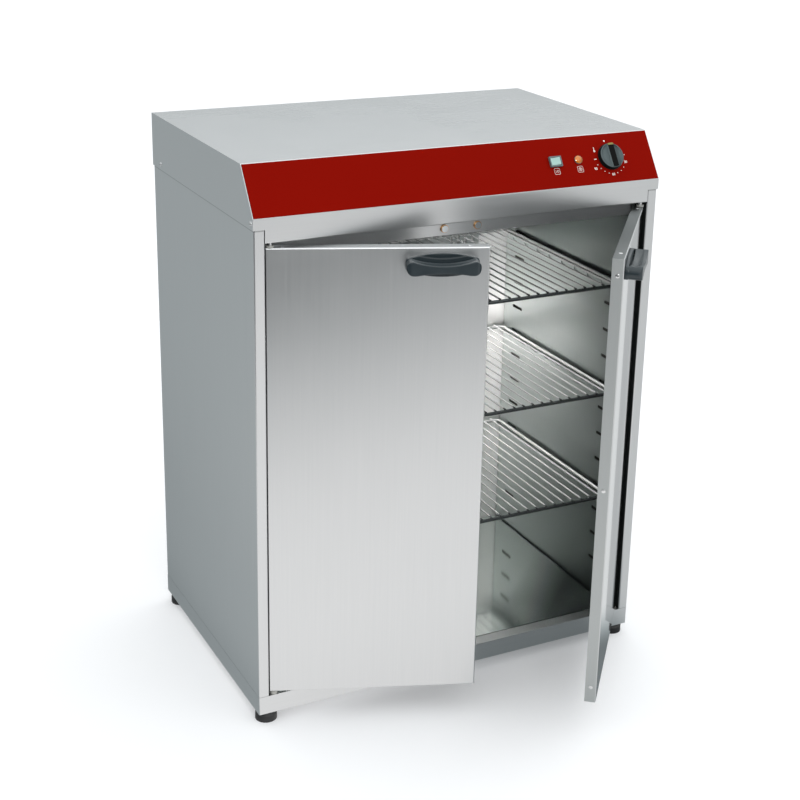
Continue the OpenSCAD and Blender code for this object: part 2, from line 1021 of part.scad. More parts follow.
// places of the handle's two screws on the inside of the skin, z pointing into the door
module handle_fixings() {
  for (side = [-1, 1])
    translate([handle_u + side * handle_fix, -pin_back + sheet, handle_z])
      rotate([-90, 0, 0])
        children();
}

module door_screws() {
  color("silver") {
    door_fixings()
      pan_screw(6.4, 0.7, 3.5, 7);
    handle_fixings()
      pan_screw(7.5, 1.9, 4, 12);
  }
}

// flanged bushes for the pins, the lower one carries the door
module door_bushes() {
  color("white") {
    difference() {
      union() {
        translate([0, 0, door_high - 14])
          cylinder(d = bush_d, h = 14.1);
        translate([0, 0, door_high + fit])
          cylinder(d = bush_d + 2, h = 2.5);
      }
      translate([0, 0, door_high - 20])
        cylinder(d = pin_d + 2 * fit, h = 40);
    }
    difference() {
      union() {
        translate([0, 0, door_low - 0.1])
          cylinder(d = bush_d, h = 14.1);
        translate([0, 0, plinth_z + 0.4])
          cylinder(d = bush_d + 2, h = low_gap - 0.4 - fit);
      }
      translate([0, 0, door_low - 20])
        cylinder(d = pin_d + 2 * fit, h = 40);
    }
  }
}

// radius of the arc that rises this much over half its chord
function arc_radius(half, rise) = (half * half + rise * rise) / (2 * rise);

// back plate: two shallow arcs between round ends
module lens_plate(thick) {
  r = arc_radius(handle_l * 0.45, handle_h * 0.21);
  intersection() {
    linear_extrude(thick)
      slot_shape(handle_l, handle_h * 1.1);
    translate([0, handle_h / 2 - r, -1])
      cylinder(r = r, h = thick + 2);
    translate([0, r - handle_h / 2, -1])
      cylinder(r = r, h = thick + 2);
  }
}

// front outline of the grip: round ends, a long scoop from above and a shorter one from below
module waist_shape() {
  difference() {
    slot_shape(handle_l, grip_h);
    translate([0, grip_h / 2 - top_scoop + top_scoop_r])
      circle(r = top_scoop_r);
    translate([0, low_scoop - grip_h / 2 - low_scoop_r])
      circle(r = low_scoop_r);
  }
}

// top view of the grip, with its front corners rounded
module plan_shape() {
  r = 7;
  translate([-handle_l / 2, 0])
    square([handle_l, handle_out - r]);
  translate([-handle_l / 2 + r, 0])
    square([handle_l - 2 * r, handle_out]);
  for (side = [-1, 1])
    translate([side * (handle_l / 2 - r), handle_out - r])
      circle(r = r);
}

// moulded pull: back plate, waisted front, shadow groove and a finger pocket open below
module pull_handle() {
  plate_t = 4.5;
  trough = 2;
  trough_r = 10;
  pocket_x = handle_l / 2 - 16;
  groove_x = handle_l * 0.44;
  color("dimgray")
    difference() {
      union() {
        lens_plate(plate_t);
        intersection() {
          translate([0, 0, plate_t - 1])
            linear_extrude(handle_out)
              waist_shape();
          rotate([90, 0, 0])
            linear_extrude(handle_h * 2, center = true)
              plan_shape();
        }
      }
      block([-pocket_x, -handle_h, plate_t], [pocket_x, grip_h / 2 - 10.5, handle_out - 4.5]);
      block([-groove_x, grip_h / 2 - 9.5, plate_t], [groove_x, handle_h, plate_t + 1.5]);
      translate([0, grip_h / 2 - top_scoop + top_scoop_r, plate_t + 9.5])
        rotate_extrude()
          translate([top_scoop_r + trough - trough_r, 0])
            circle(r = trough_r);
      for (side = [-1, 1])
        translate([side * handle_fix, 0, -1])
          cylinder(d = 4 + 2 * fit, h = 13);
    }
}

module door_handle() {
  on_door(handle_u, handle_z)
    pull_handle();
}

module left_door_skin() {
  in_door(left_open)
    door_skin();
}

module left_door_inner() {
  in_door(left_open)
    door_inner();
}

module left_door_core() {
  in_door(left_open)
    door_core();
}

module left_door_handle() {
  in_door(left_open)
    door_handle();
}

module left_door_screws() {
  in_door(left_open)
    door_screws();
}

module left_door_bushes() {
  in_door(left_open)
    door_bushes();
}

module right_door_skin() {
  right_hand()
    in_door(right_open)
      door_skin();
}

module right_door_inner() {
  right_hand()
    in_door(right_open)
      door_inner();
}

module right_door_core() {
  right_hand()
    in_door(right_open)
      door_core();
}

module right_door_handle() {
  right_hand()
    in_door(right_open)
      door_handle();
}

module right_door_screws() {
  right_hand()
    in_door(right_open)
      door_screws();
}

module right_door_bushes() {
  right_hand()
    in_door(right_open)
      door_bushes();
}

base_tray();
left_side_panel();
right_side_panel();
back_panel();
front_lintel();
top_hood();
control_fascia();
liner_left();
liner_right();
liner_rear();
liner_ceiling();
floor_pan();
vent_cover();
insulation_left();
insulation_right();
insulation_rear();
insulation_top();
heating_element();
heater_brackets();
thermostat_body();
sensor_bulb();
switch_body();
lamp_body();
lamp_lens();
terminal_block();
cable_gland();
left_hinge_top();
left_hinge_low();
right_hinge_top();
right_hinge_low();
magnet_cups();
magnet_faces();
runners_left();
runners_right();
wire_shelf_low();
wire_shelf_middle();
wire_shelf_high();
feet();
foot_nuts();
case_screws();
left_door_skin();
left_door_inner();
left_door_core();
left_door_handle();
left_door_screws();
left_door_bushes();
right_door_skin();
right_door_inner();
right_door_core();
right_door_handle();
right_door_screws();
right_door_bushes();
thermostat_shaft();
thermostat_knob();
knob_pointer();
rocker();
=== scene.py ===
import json
import math

import bmesh
import bpy
from mathutils import Matrix, Vector


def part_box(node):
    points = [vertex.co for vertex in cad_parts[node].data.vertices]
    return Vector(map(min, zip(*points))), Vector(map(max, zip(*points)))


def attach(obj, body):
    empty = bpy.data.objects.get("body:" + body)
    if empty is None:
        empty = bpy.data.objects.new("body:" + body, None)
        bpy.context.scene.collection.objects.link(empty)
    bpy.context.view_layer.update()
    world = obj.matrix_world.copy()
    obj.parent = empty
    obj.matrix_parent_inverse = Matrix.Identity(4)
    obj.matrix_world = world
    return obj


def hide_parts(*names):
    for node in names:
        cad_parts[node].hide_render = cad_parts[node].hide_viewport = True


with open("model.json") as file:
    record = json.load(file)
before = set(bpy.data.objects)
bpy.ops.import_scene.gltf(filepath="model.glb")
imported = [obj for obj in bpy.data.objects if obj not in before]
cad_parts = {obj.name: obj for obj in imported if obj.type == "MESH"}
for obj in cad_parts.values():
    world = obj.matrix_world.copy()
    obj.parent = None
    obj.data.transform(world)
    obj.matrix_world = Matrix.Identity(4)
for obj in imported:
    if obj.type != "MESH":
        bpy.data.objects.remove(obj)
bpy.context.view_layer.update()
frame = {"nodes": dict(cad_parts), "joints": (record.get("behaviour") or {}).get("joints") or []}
nodes = frame["nodes"]
scene = bpy.context.scene
mm = 0.001
print("frame loaded:", len(nodes), "nodes")

# where things are, read from the frame
joints = {joint["name"]: joint for joint in frame["joints"]}
knobCentre = Vector(joints["thermostat_turn"]["pos_m"])
switchCentre = Vector(joints["rocker_press"]["pos_m"])
lampLow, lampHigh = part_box("lamp_lens")
slopeIn = Vector(joints["thermostat_turn"]["axis"])
slopeUp = Vector((0, -slopeIn.z, slopeIn.y))

# the sloping fascia as a plane: x along the case, y up the slope, z out of it, from the knob's centre
fasciaPlane = Matrix((
    (1, 0, 0, knobCentre.x),
    (0, slopeUp.y, -slopeIn.y, knobCentre.y),
    (0, slopeUp.z, -slopeIn.z, knobCentre.z),
    (0, 0, 0, 1),
))
fasciaFace = 1.0 * mm  # the red sheet's own thickness


# small tools for meshes and pieces

def addPiece(name, mesh):
    piece = bpy.data.objects.new(name, mesh)
    scene.collection.objects.link(piece)
    return piece


def settle(piece):
    # the evaluated result becomes a plain mesh and the modifiers go
    graph = bpy.context.evaluated_depsgraph_get()
    mesh = bpy.data.meshes.new_from_object(piece.evaluated_get(graph))
    mesh.name = piece.name
    piece.modifiers.clear()
    piece.data = mesh
    return piece


def smoothByAngle(mesh, degrees):
    mesh.shade_smooth()
    mesh.set_sharp_from_angle(angle=math.radians(degrees))


weld = {"gap": 0.004 * mm, "flat": math.radians(0.5)}  # what counts as one point, and as one flat face


def weldedCopy(nodeName, pieceName, flats=True):
    # a node's loose triangles joined up, and its flat faces made whole again
    edit = bmesh.new()
    edit.from_mesh(nodes[nodeName].data)
    bmesh.ops.remove_doubles(edit, verts=edit.verts, dist=weld["gap"])
    if flats:
        bmesh.ops.dissolve_limit(edit, angle_limit=weld["flat"], verts=edit.verts, edges=edit.edges)
    mesh = bpy.data.meshes.new(pieceName)
    edit.to_mesh(mesh)
    edit.free()
    if "custom_normal" in mesh.attributes:
        mesh.attributes.remove(mesh.attributes["custom_normal"])
    return addPiece(pieceName, mesh)


def dress(piece, body, material, replaced=()):
    piece.data.materials.clear()
    piece.data.materials.append(material)
    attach(piece, body)
    if replaced:
        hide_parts(*replaced)
    return piece


# small tools for node trees

def put(tree, kind, inputs=None, **settings):
    # one node: its settings first, then each input as a value or as another node's output
    node = tree.nodes.new(kind)
    for key, value in settings.items():
        setattr(node, key, value)
    for key, value in (inputs or {}).items():
        if isinstance(value, bpy.types.NodeSocket):
            tree.links.new(value, node.inputs[key])
        else:
            node.inputs[key].default_value = value
    return node


def newGroup(name, kind, inputs, outputs):
    tree = bpy.data.node_groups.new(name, kind)
    for label, socket in inputs:
        tree.interface.new_socket(label, in_out="INPUT", socket_type=socket)
    for label, socket in outputs:
        tree.interface.new_socket(label, in_out="OUTPUT", socket_type=socket)
    return tree, put(tree, "NodeGroupInput"), put(tree, "NodeGroupOutput")


def newMaterial(name, metallic=0.0):
    material = bpy.data.materials.new(name)
    material.use_nodes = True
    tree = material.node_tree
    shader = tree.nodes["Principled BSDF"]
    shader.inputs["Metallic"].default_value = metallic
    return material, tree, shader


def feed(tree, shader, name, output):
    tree.links.new(output, shader.inputs[name])


def sumsIn(tree):
    # arithmetic in one tree, on values or on other nodes' outputs
    def sums(first, operation, second=0.0):
        return put(tree, "ShaderNodeMath", {0: first, 1: second}, operation=operation).outputs[0]
    return sums


def placeIn(tree):
    # where a point lies on its piece
    return put(tree, "ShaderNodeTexCoord").outputs["Object"]


def between(tree, value, low, high, start=0.0, stop=1.0):
    # a value that runs from start to stop, spread over low to high
    spread = put(tree, "ShaderNodeMapRange", {
        "Value": value, "From Min": start, "From Max": stop, "To Min": low, "To Max": high})
    return spread.outputs["Result"]


def blendColours(tree, factor, first, second):
    return put(tree, "ShaderNodeMixRGB", {"Fac": factor, "Color1": first, "Color2": second}).outputs["Color"]


def bumpFrom(tree, height, strength, distance):
    bump = put(tree, "ShaderNodeBump", {"Height": height, "Strength": strength, "Distance": distance})
    return bump.outputs["Normal"]


# effects that several finishes share
# a noise's middling values are spread this far, so that both ends are reached
contrast = {"streak": (-0.6, 1.6), "cloud": (-0.5, 1.5), "smear": (-0.6, 1.6)}


def makeGrain():
    # brushing lines, long one way and fine the other, and the soft clouds in a rolled sheet
    tree, start, end = newGroup(
        "brushedGrain", "ShaderNodeTree",
        [("Stretch", "NodeSocketVector"), ("Cloud Size", "NodeSocketFloat")],
        [("Streak", "NodeSocketFloat"), ("Cloud", "NodeSocketFloat")])
    place = placeIn(tree)
    drawn = put(tree, "ShaderNodeVectorMath", {0: place, 1: start.outputs["Stretch"]}, operation="MULTIPLY")
    lines = put(tree, "ShaderNodeTexNoise", {
        "Vector": drawn.outputs["Vector"], "Scale": 1.0, "Detail": 5.0, "Roughness": 0.62})
    clouds = put(tree, "ShaderNodeTexNoise", {
        "Vector": place, "Scale": start.outputs["Cloud Size"], "Detail": 3.0, "Roughness": 0.5})
    tree.links.new(between(tree, lines.outputs["Fac"], *contrast["streak"]), end.inputs["Streak"])
    tree.links.new(between(tree, clouds.outputs["Fac"], *contrast["cloud"]), end.inputs["Cloud"])
    return tree


def makeHandling():
    # faint wiping marks, and dust that settles on what faces up
    tree, start, end = newGroup(
        "handlingMarks", "ShaderNodeTree",
        [("Size", "NodeSocketFloat"), ("Dust", "NodeSocketFloat")],
        [("Smear", "NodeSocketFloat"), ("Dust", "NodeSocketFloat")])
    place = placeIn(tree)
    smear = put(tree, "ShaderNodeTexNoise", {
        "Vector": place, "Scale": start.outputs["Size"], "Detail": 5.0, "Roughness": 0.6, "Distortion": 1.2})
    specks = put(tree, "ShaderNodeTexNoise", {"Vector": place, "Scale": 900.0, "Detail": 2.0})
    facing = put(tree, "ShaderNodeSeparateXYZ", {0: put(tree, "ShaderNodeNewGeometry").outputs["Normal"]})
    sums = sumsIn(tree)
    settled = sums(sums(facing.outputs["Z"], "MAXIMUM", 0.0), "MULTIPLY", specks.outputs["Fac"])
    dust = sums(settled, "MULTIPLY", start.outputs["Dust"])
    tree.links.new(between(tree, smear.outputs["Fac"], *contrast["smear"]), end.inputs["Smear"])
    tree.links.new(dust, end.inputs["Dust"])
    return tree


def makeSkin():
    # the fine pebbling of a moulding, with a slow change of gloss
    tree, start, end = newGroup(
        "mouldedSkin", "ShaderNodeTree",
        [("Pebble", "NodeSocketFloat")],
        [("Height", "NodeSocketFloat"), ("Gloss", "NodeSocketFloat")])
    place = placeIn(tree)
    pebbles = put(tree, "ShaderNodeTexVoronoi", {"Vector": place, "Scale": start.outputs["Pebble"]})
    gloss = put(tree, "ShaderNodeTexNoise", {"Vector": place, "Scale": 60.0, "Detail": 4.0})
    tree.links.new(pebbles.outputs["Distance"], end.inputs["Height"])
    tree.links.new(gloss.outputs["Fac"], end.inputs["Gloss"])
    return tree


brushedGrain = makeGrain()
handlingMarks = makeHandling()
mouldedSkin = makeSkin()


# finishes

# what all the steel shares: tones of dust, of a painted shadow line and of painted shade, and how far each
# effect reaches
steel = {
    "dust": (0.72, 0.72, 0.70, 1), "lapShadow": (0.30, 0.31, 0.31, 1), "paintedShade": (0.13, 0.15, 0.145, 1),
    "grazing": (0.78, 0.92), "fold": (0.90, 0.97), "lapLine": (3 * mm, 1 * mm), "grainDepth": 0.05 * mm}


def steelSheet(name, look):
    material, tree, shader = newMaterial(name, metallic=look["metallic"])
    sums = sumsIn(tree)
    grain = put(tree, "ShaderNodeGroup", {
        "Stretch": look["stretch"], "Cloud Size": look["clouds"]}, node_tree=brushedGrain)
    handled = put(tree, "ShaderNodeGroup", {
        "Size": look["smears"], "Dust": look["dust"]}, node_tree=handlingMarks)
    lined = blendColours(tree, grain.outputs["Streak"], look["dark"], look["light"])
    clouds = between(tree, grain.outputs["Cloud"], 0.0, look["cloudiness"])
    clouded = blendColours(tree, clouds, lined, look["stain"])
    toned = blendColours(tree, handled.outputs["Dust"], clouded, steel["dust"])
    wiped = sums(sums(grain.outputs["Streak"], "ADD", handled.outputs["Smear"]), "MULTIPLY", 0.5)
    facing = put(tree, "ShaderNodeLayerWeight").outputs["Facing"]
    grazing = between(tree, facing, 1.0, look["glance"], *steel["grazing"])
    gloss = sums(between(tree, wiped, *look["roughness"]), "MULTIPLY", grazing)
    for way, tone, dulling in look.get("folds", []):  # folded edge faces: a duller gloss and a painted tone of shade
        normal = put(tree, "ShaderNodeTexCoord").outputs["Normal"]
        turned = put(tree, "ShaderNodeVectorMath", {0: normal, 1: way}, operation="DOT_PRODUCT")
        edge = between(tree, turned.outputs["Value"], 0.0, 1.0, *steel["fold"])
        toned = blendColours(tree, edge, toned, tone)
        gloss = sums(sums(edge, "MULTIPLY", dulling), "ADD", gloss)
    if "lap" in look:  # painted shadow line where another sheet laps over this one
        height = put(tree, "ShaderNodeSeparateXYZ", {0: placeIn(tree)}).outputs["Z"]
        below, above = steel["lapLine"]
        line = between(tree, height, 0.0, 1.0, look["lap"] - below, look["lap"] - above)
        toned = blendColours(tree, line, toned, steel["lapShadow"])
    for way, clean, dark, depth in look.get("paintedShade", []):  # painted shade: the steel darkens along a direction, for shade in the cavity and a dark reflection in the pan
        along = put(tree, "ShaderNodeVectorMath", {0: placeIn(tree), 1: way}, operation="DOT_PRODUCT")
        shade = between(tree, along.outputs["Value"], 0.0, depth, clean, dark)
        toned = blendColours(tree, shade, toned, steel["paintedShade"])
    feed(tree, shader, "Base Color", toned)
    feed(tree, shader, "Roughness", gloss)
    feed(tree, shader, "Normal", bumpFrom(tree, grain.outputs["Streak"], look["bump"], steel["grainDepth"]))
    return material


def freeWay(hinge, handle):
    # level direction from a door's hinge to its free edge
    low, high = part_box(handle)
    way = (Vector(low) + Vector(high)) / 2 - Vector(joints[hinge]["pos_m"])
    way.z = 0
    return way.normalized()


upright = (420.0, 420.0, 6.0)
across = (6.0, 420.0, 420.0)
uprightLook = {
    "metallic": 1.0, "stretch": upright, "clouds": 2.5, "smears": 5.0, "dust": 0.02,
    "dark": (0.612, 0.622, 0.628, 1), "light": (0.640, 0.647, 0.652, 1), "stain": (0.605, 0.618, 0.624, 1),
    "cloudiness": 0.3, "roughness": (0.285, 0.345), "glance": 0.35, "bump": 0.02}
caseSteelUpright = steelSheet("caseSteelUpright", uprightLook)
leftFree = freeWay("left_door_hinge", "left_door_handle")
rightFree = freeWay("right_door_hinge", "right_door_handle")
# painted tones on folded edge faces: painted shade on the free edges and in the hinge-side gaps, a painted
# dark reflection on the doors' top edges
freeEdgeShade = (0.47, 0.49, 0.49, 1)
hingeGapShade = (0.05, 0.055, 0.055, 1)
topEdgeReflection = (0.20, 0.215, 0.215, 1)
dulled = 0.25  # roughness that a folded edge adds
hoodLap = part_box("top_hood")[0].z
leftSideSteel = steelSheet("leftSideSteel", {
    **uprightLook, "lap": hoodLap, "folds": [(Vector((1, 0, 0)), hingeGapShade, dulled)]})
rightSideSteel = steelSheet("rightSideSteel", {
    **uprightLook, "lap": hoodLap, "folds": [(Vector((-1, 0, 0)), hingeGapShade, dulled)]})
leftDoorSteel = steelSheet("leftDoorSteel", {**uprightLook, "folds": [
    (leftFree, freeEdgeShade, dulled), (-leftFree, hingeGapShade, dulled)]})
rightDoorSteel = steelSheet("rightDoorSteel", {**uprightLook, "glance": 0.12, "folds": [
    (rightFree, freeEdgeShade, dulled), (-rightFree, hingeGapShade, dulled), (Vector((0, 0, 1)), topEdgeReflection, 0.0)]})
caseSteelAcross = steelSheet("caseSteelAcross", {
    **uprightLook, "stretch": across, "dust": 0.03, "stain": (0.61, 0.62, 0.625, 1),
    "roughness": (0.28, 0.35), "glance": 0.5})
linerLook = {
    "metallic": 0.85, "stretch": (700.0, 700.0, 40.0), "clouds": 7.0, "smears": 6.0, "dust": 0.01,
    "dark": (0.412, 0.448, 0.435, 1), "light": (0.442, 0.476, 0.464, 1), "stain": (0.378, 0.416, 0.402, 1),
    "cloudiness": 0.35, "roughness": (0.28, 0.33), "glance": 0.8, "bump": 0.001}
linerSteel = steelSheet("linerSteel", {**linerLook, "paintedShade": [
    ((0.0, 0.8, 0.6), 0.30, 0.0, 0.90), ((0.0, 0.0, 1.0), 0.50, 0.60, 0.85)]})
# the back wall: a lighter copy of the liner steel, painted light on it
litRearSteel = steelSheet("litRearSteel", {
    **linerLook, "metallic": 0.7,
    "dark": (0.66, 0.67, 0.65, 1), "light": (0.71, 0.72, 0.70, 1), "stain": (0.62, 0.63, 0.61, 1),
    "paintedShade": [((-1.0, 0.0, 0.0), -0.16, 0.12, 0.85), ((0.0, 0.0, 1.0), 0.50, 0.60, 0.60)]})
panSteel = steelSheet("panSteel", {
    "metallic": 0.95, "stretch": (30.0, 600.0, 600.0), "clouds": 7.0, "smears": 8.0, "dust": 0.01,
    "dark": (0.66, 0.70, 0.68, 1), "light": (0.72, 0.76, 0.74, 1), "stain": (0.60, 0.64, 0.62, 1),
    "cloudiness": 0.35, "roughness": (0.05, 0.10), "glance": 1.0, "bump": 0.004,
    "paintedShade": [((1.0, -1.0, 0.0), 0.28, 0.40, 0.95)]})


plating = {"bump": 0.05, "depth": 0.05 * mm}  # shared by every plain metal


def plainMetal(name, dark, light, roughness, scale, metallic=1.0):
    # turned or plated metal: a mottled tone and an uneven polish
    material, tree, shader = newMaterial(name, metallic=metallic)
    mottle = put(tree, "ShaderNodeTexNoise", {
        "Vector": placeIn(tree), "Scale": scale, "Detail": 4.0, "Roughness": 0.6})
    feed(tree, shader, "Base Color", blendColours(tree, mottle.outputs["Fac"], dark, light))
    feed(tree, shader, "Roughness", between(tree, mottle.outputs["Fac"], *roughness))
    feed(tree, shader, "Normal", bumpFrom(tree, mottle.outputs["Fac"], plating["bump"], plating["depth"]))
    return material


paintedRailShade = {"start": 6 * mm, "stop": 5 * mm, "tone": (0.10, 0.11, 0.11, 1)}  # painted shade on the front rail, measured from a shelf's front edge


def makeWireChrome():
    # bright wire, with painted shade and a painted dark reflection on its front rail
    material = plainMetal(
        "wireChrome", (0.78, 0.79, 0.78, 1), (0.90, 0.90, 0.89, 1), (0.20, 0.30), 180.0, metallic=0.7)
    tree = material.node_tree
    shader = next(node for node in tree.nodes if node.type == "BSDF_PRINCIPLED")
    bright = shader.inputs["Base Color"].links[0].from_socket
    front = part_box("wire_shelf_low")[0].y
    depth = put(tree, "ShaderNodeSeparateXYZ", {0: placeIn(tree)}).outputs["Y"]
    shadedRail = between(tree, depth, 0.0, 1.0, front + paintedRailShade["start"], front + paintedRailShade["stop"])
    feed(tree, shader, "Base Color", blendColours(tree, shadedRail, bright, paintedRailShade["tone"]))
    return material


wireChrome = makeWireChrome()
zincScrew = plainMetal("zincScrew", (0.60, 0.61, 0.62, 1), (0.80, 0.80, 0.80, 1), (0.18, 0.38), 420.0)
magnetCopper = plainMetal("magnetCopper", (0.52, 0.29, 0.14, 1), (0.76, 0.46, 0.24, 1), (0.20, 0.40), 500.0)
magnetShine = plainMetal("magnetShine", (0.60, 0.64, 0.66, 1), (0.72, 0.76, 0.78, 1), (0.14, 0.28), 400.0)
heaterTube = plainMetal("heaterTube", (0.10, 0.095, 0.09, 1), (0.26, 0.24, 0.22, 1), (0.35, 0.60), 120.0)
bulbCopper = plainMetal("bulbCopper", (0.50, 0.28, 0.15, 1), (0.74, 0.46, 0.28, 1), (0.18, 0.42), 260.0)


moulded = {"smears": 40.0, "dust": (0.42, 0.42, 0.41, 1), "skinDepth": 0.04 * mm}  # shared by every moulding


def moulding(name, dark, light, look):
    # moulded plastic or rubber: two near tones, a pebbled skin and an uneven gloss
    material, tree, shader = newMaterial(name)
    shader.inputs["Specular IOR Level"].default_value = look["specular"]
    skin = put(tree, "ShaderNodeGroup", {"Pebble": look["pebble"]}, node_tree=mouldedSkin)
    handled = put(tree, "ShaderNodeGroup", {
        "Size": moulded["smears"], "Dust": look["dust"]}, node_tree=handlingMarks)
    toned = blendColours(tree, skin.outputs["Gloss"], dark, light)
    feed(tree, shader, "Base Color", blendColours(tree, handled.outputs["Dust"], toned, moulded["dust"]))
    feed(tree, shader, "Roughness", between(tree, skin.outputs["Gloss"], *look["roughness"]))
    feed(tree, shader, "Normal", bumpFrom(tree, skin.outputs["Height"], look["bump"], moulded["skinDepth"]))
    return material


handleBlack = moulding("handleBlack", (0.014, 0.023, 0.028, 1), (0.022, 0.034, 0.041, 1), {
    "specular": 0.5, "pebble": 1800.0, "dust": 0.05, "roughness": (0.24, 0.40), "bump": 0.12})
footBlack = moulding("footBlack", (0.010, 0.010, 0.011, 1), (0.022, 0.022, 0.023, 1), {
    "specular": 0.4, "pebble": 1200.0, "dust": 0.12, "roughness": (0.45, 0.70), "bump": 0.3})
switchGrey = moulding("switchGrey", (0.095, 0.130, 0.138, 1), (0.130, 0.168, 0.175, 1), {
    "specular": 0.5, "pebble": 2600.0, "dust": 0.04, "roughness": (0.28, 0.42), "bump": 0.1})
rockerPale = moulding("rockerPale", (0.33, 0.53, 0.49, 1), (0.40, 0.61, 0.57, 1), {
    "specular": 0.5, "pebble": 3000.0, "dust": 0.02, "roughness": (0.18, 0.30), "bump": 0.05})
pointerYellow = moulding("pointerYellow", (0.20, 0.18, 0.03, 1), (0.26, 0.23, 0.05, 1), {
    "specular": 0.5, "pebble": 3000.0, "dust": 0.02, "roughness": (0.30, 0.45), "bump": 0.05})
bushNylon = moulding("bushNylon", (0.30, 0.30, 0.28, 1), (0.38, 0.38, 0.36, 1), {
    "specular": 0.5, "pebble": 2400.0, "dust": 0.05, "roughness": (0.30, 0.50), "bump": 0.08})
brownMoulding = moulding("brownMoulding", (0.16, 0.10, 0.055, 1), (0.24, 0.16, 0.09, 1), {
    "specular": 0.5, "pebble": 1600.0, "dust": 0.10, "roughness": (0.35, 0.55), "bump": 0.12})
ivoryMoulding = moulding("ivoryMoulding", (0.66, 0.62, 0.48, 1), (0.76, 0.73, 0.60, 1), {
    "specular": 0.5, "pebble": 1600.0, "dust": 0.10, "roughness": (0.30, 0.50), "bump": 0.08})


# the dial: height of its grip's crown, radius of its rim where a painted shade in black starts, and how fast
# both turn black
knob = {
    "crown": 12.7 * mm, "rim": 20.7 * mm, "fade": 0.2 * mm, "blackAndShade": (0.0015, 0.0018, 0.0018, 1),
    "dark": (0.058, 0.074, 0.077, 1), "light": (0.078, 0.096, 0.099, 1), "roughness": (0.34, 0.50),
    "specular": 0.06, "pebble": 2200.0, "bump": 0.15}


def makeKnobBlack():
    # dark grey dial, black on the crown of its grip, and painted shade in black round its rim
    material, tree, shader = newMaterial("knobBlack")
    shader.inputs["Specular IOR Level"].default_value = knob["specular"]
    skin = put(tree, "ShaderNodeGroup", {"Pebble": knob["pebble"]}, node_tree=mouldedSkin)
    place = placeIn(tree)
    fromCentre = put(tree, "ShaderNodeVectorMath", {0: place, 1: knobCentre}, operation="SUBTRACT")
    rise = put(tree, "ShaderNodeVectorMath", {
        0: fromCentre.outputs["Vector"], 1: -slopeIn}, operation="DOT_PRODUCT")
    axial = put(tree, "ShaderNodeVectorMath", {
        0: -slopeIn, "Scale": rise.outputs["Value"]}, operation="SCALE")
    outward = put(tree, "ShaderNodeVectorMath", {
        0: fromCentre.outputs["Vector"], 1: axial.outputs["Vector"]}, operation="DISTANCE")

    def beyond(value, limit):
        return between(tree, value, 0.0, 1.0, limit - knob["fade"], limit + knob["fade"])

    crown = beyond(rise.outputs["Value"], knob["crown"])
    rim = beyond(outward.outputs["Value"], knob["rim"])
    blackAndShade = sumsIn(tree)(crown, "MAXIMUM", rim)
    disc = blendColours(tree, skin.outputs["Gloss"], knob["dark"], knob["light"])
    feed(tree, shader, "Base Color", blendColours(tree, blackAndShade, disc, knob["blackAndShade"]))
    feed(tree, shader, "Roughness", between(tree, skin.outputs["Gloss"], *knob["roughness"]))
    feed(tree, shader, "Normal", bumpFrom(tree, skin.outputs["Height"], knob["bump"], moulded["skinDepth"]))
    return material


fascia = {
    "dark": (0.222, 0.0034, 0.0008, 1), "light": (0.240, 0.0042, 0.0011, 1),
    "mirrored": (0.20, 0.20, 0.20, 1), "roughness": (0.30, 0.40), "specular": 0.012,
    "drift": 7.0, "peel": 420.0, "peelDepth": 0.05 * mm, "bump": 0.06}


def makeFasciaRed():
    # printed red film: even colour and the faint orange peel of a lacquered face
    # where steel mirrors it, it is plain grey
    material, tree, shader = newMaterial("fasciaRed")
    shader.inputs["Specular IOR Level"].default_value = fascia["specular"]
    place = placeIn(tree)
    peel = put(tree, "ShaderNodeTexNoise", {"Vector": place, "Scale": fascia["peel"], "Detail": 2.0})
    drift = put(tree, "ShaderNodeTexNoise", {"Vector": place, "Scale": fascia["drift"], "Detail": 2.0})
    red = blendColours(tree, drift.outputs["Fac"], fascia["dark"], fascia["light"])
    mirrored = put(tree, "ShaderNodeLightPath").outputs["Is Glossy Ray"]
    feed(tree, shader, "Base Color", blendColours(tree, mirrored, red, fascia["mirrored"]))
    feed(tree, shader, "Roughness", between(tree, drift.outputs["Fac"], *fascia["roughness"]))
    feed(tree, shader, "Normal", bumpFrom(tree, peel.outputs["Fac"], fascia["bump"], fascia["peelDepth"]))
    return material


lens = {
    "deep": (0.25, 0.062, 0.004, 1), "ribHighlight": (0.42, 0.145, 0.010, 1), "roughness": (0.10, 0.25),
    "coat": 0.6, "coatRoughness": 0.05, "ribs": 190.0}


def makeAmber():
    # tinted lens: deep colour below, with a painted highlight along the moulded ribs
    material, tree, shader = newMaterial("lensAmber")
    shader.inputs["Coat Weight"].default_value = lens["coat"]
    shader.inputs["Coat Roughness"].default_value = lens["coatRoughness"]
    ribs = put(tree, "ShaderNodeTexWave", {
        "Vector": placeIn(tree), "Scale": lens["ribs"], "Distortion": 1.5, "Detail": 1.0})
    feed(tree, shader, "Base Color", blendColours(tree, ribs.outputs["Fac"], lens["deep"], lens["ribHighlight"]))
    feed(tree, shader, "Roughness", between(tree, ribs.outputs["Fac"], *lens["roughness"]))
    return material


wool = {
    "dark": (0.030, 0.028, 0.024, 1), "light": (0.075, 0.070, 0.058, 1), "roughness": (0.80, 1.0),
    "fibres": 240.0, "bump": 0.8, "pile": 1.5 * mm}


def makeWool():
    # matted mineral wool under its dark fleece
    material, tree, shader = newMaterial("mineralWool")
    fibres = put(tree, "ShaderNodeTexNoise", {
        "Vector": placeIn(tree), "Scale": wool["fibres"],
        "Detail": 8.0, "Roughness": 0.75, "Distortion": 2.0})
    feed(tree, shader, "Base Color", blendColours(tree, fibres.outputs["Fac"], wool["dark"], wool["light"]))
    feed(tree, shader, "Roughness", between(tree, fibres.outputs["Fac"], *wool["roughness"]))
    feed(tree, shader, "Normal", bumpFrom(tree, fibres.outputs["Fac"], wool["bump"], wool["pile"]))
    return material


ink = {
    "dark": (0.74, 0.66, 0.60, 1), "light": (0.90, 0.86, 0.82, 1), "roughness": (0.40, 0.60), "grain": 900.0}


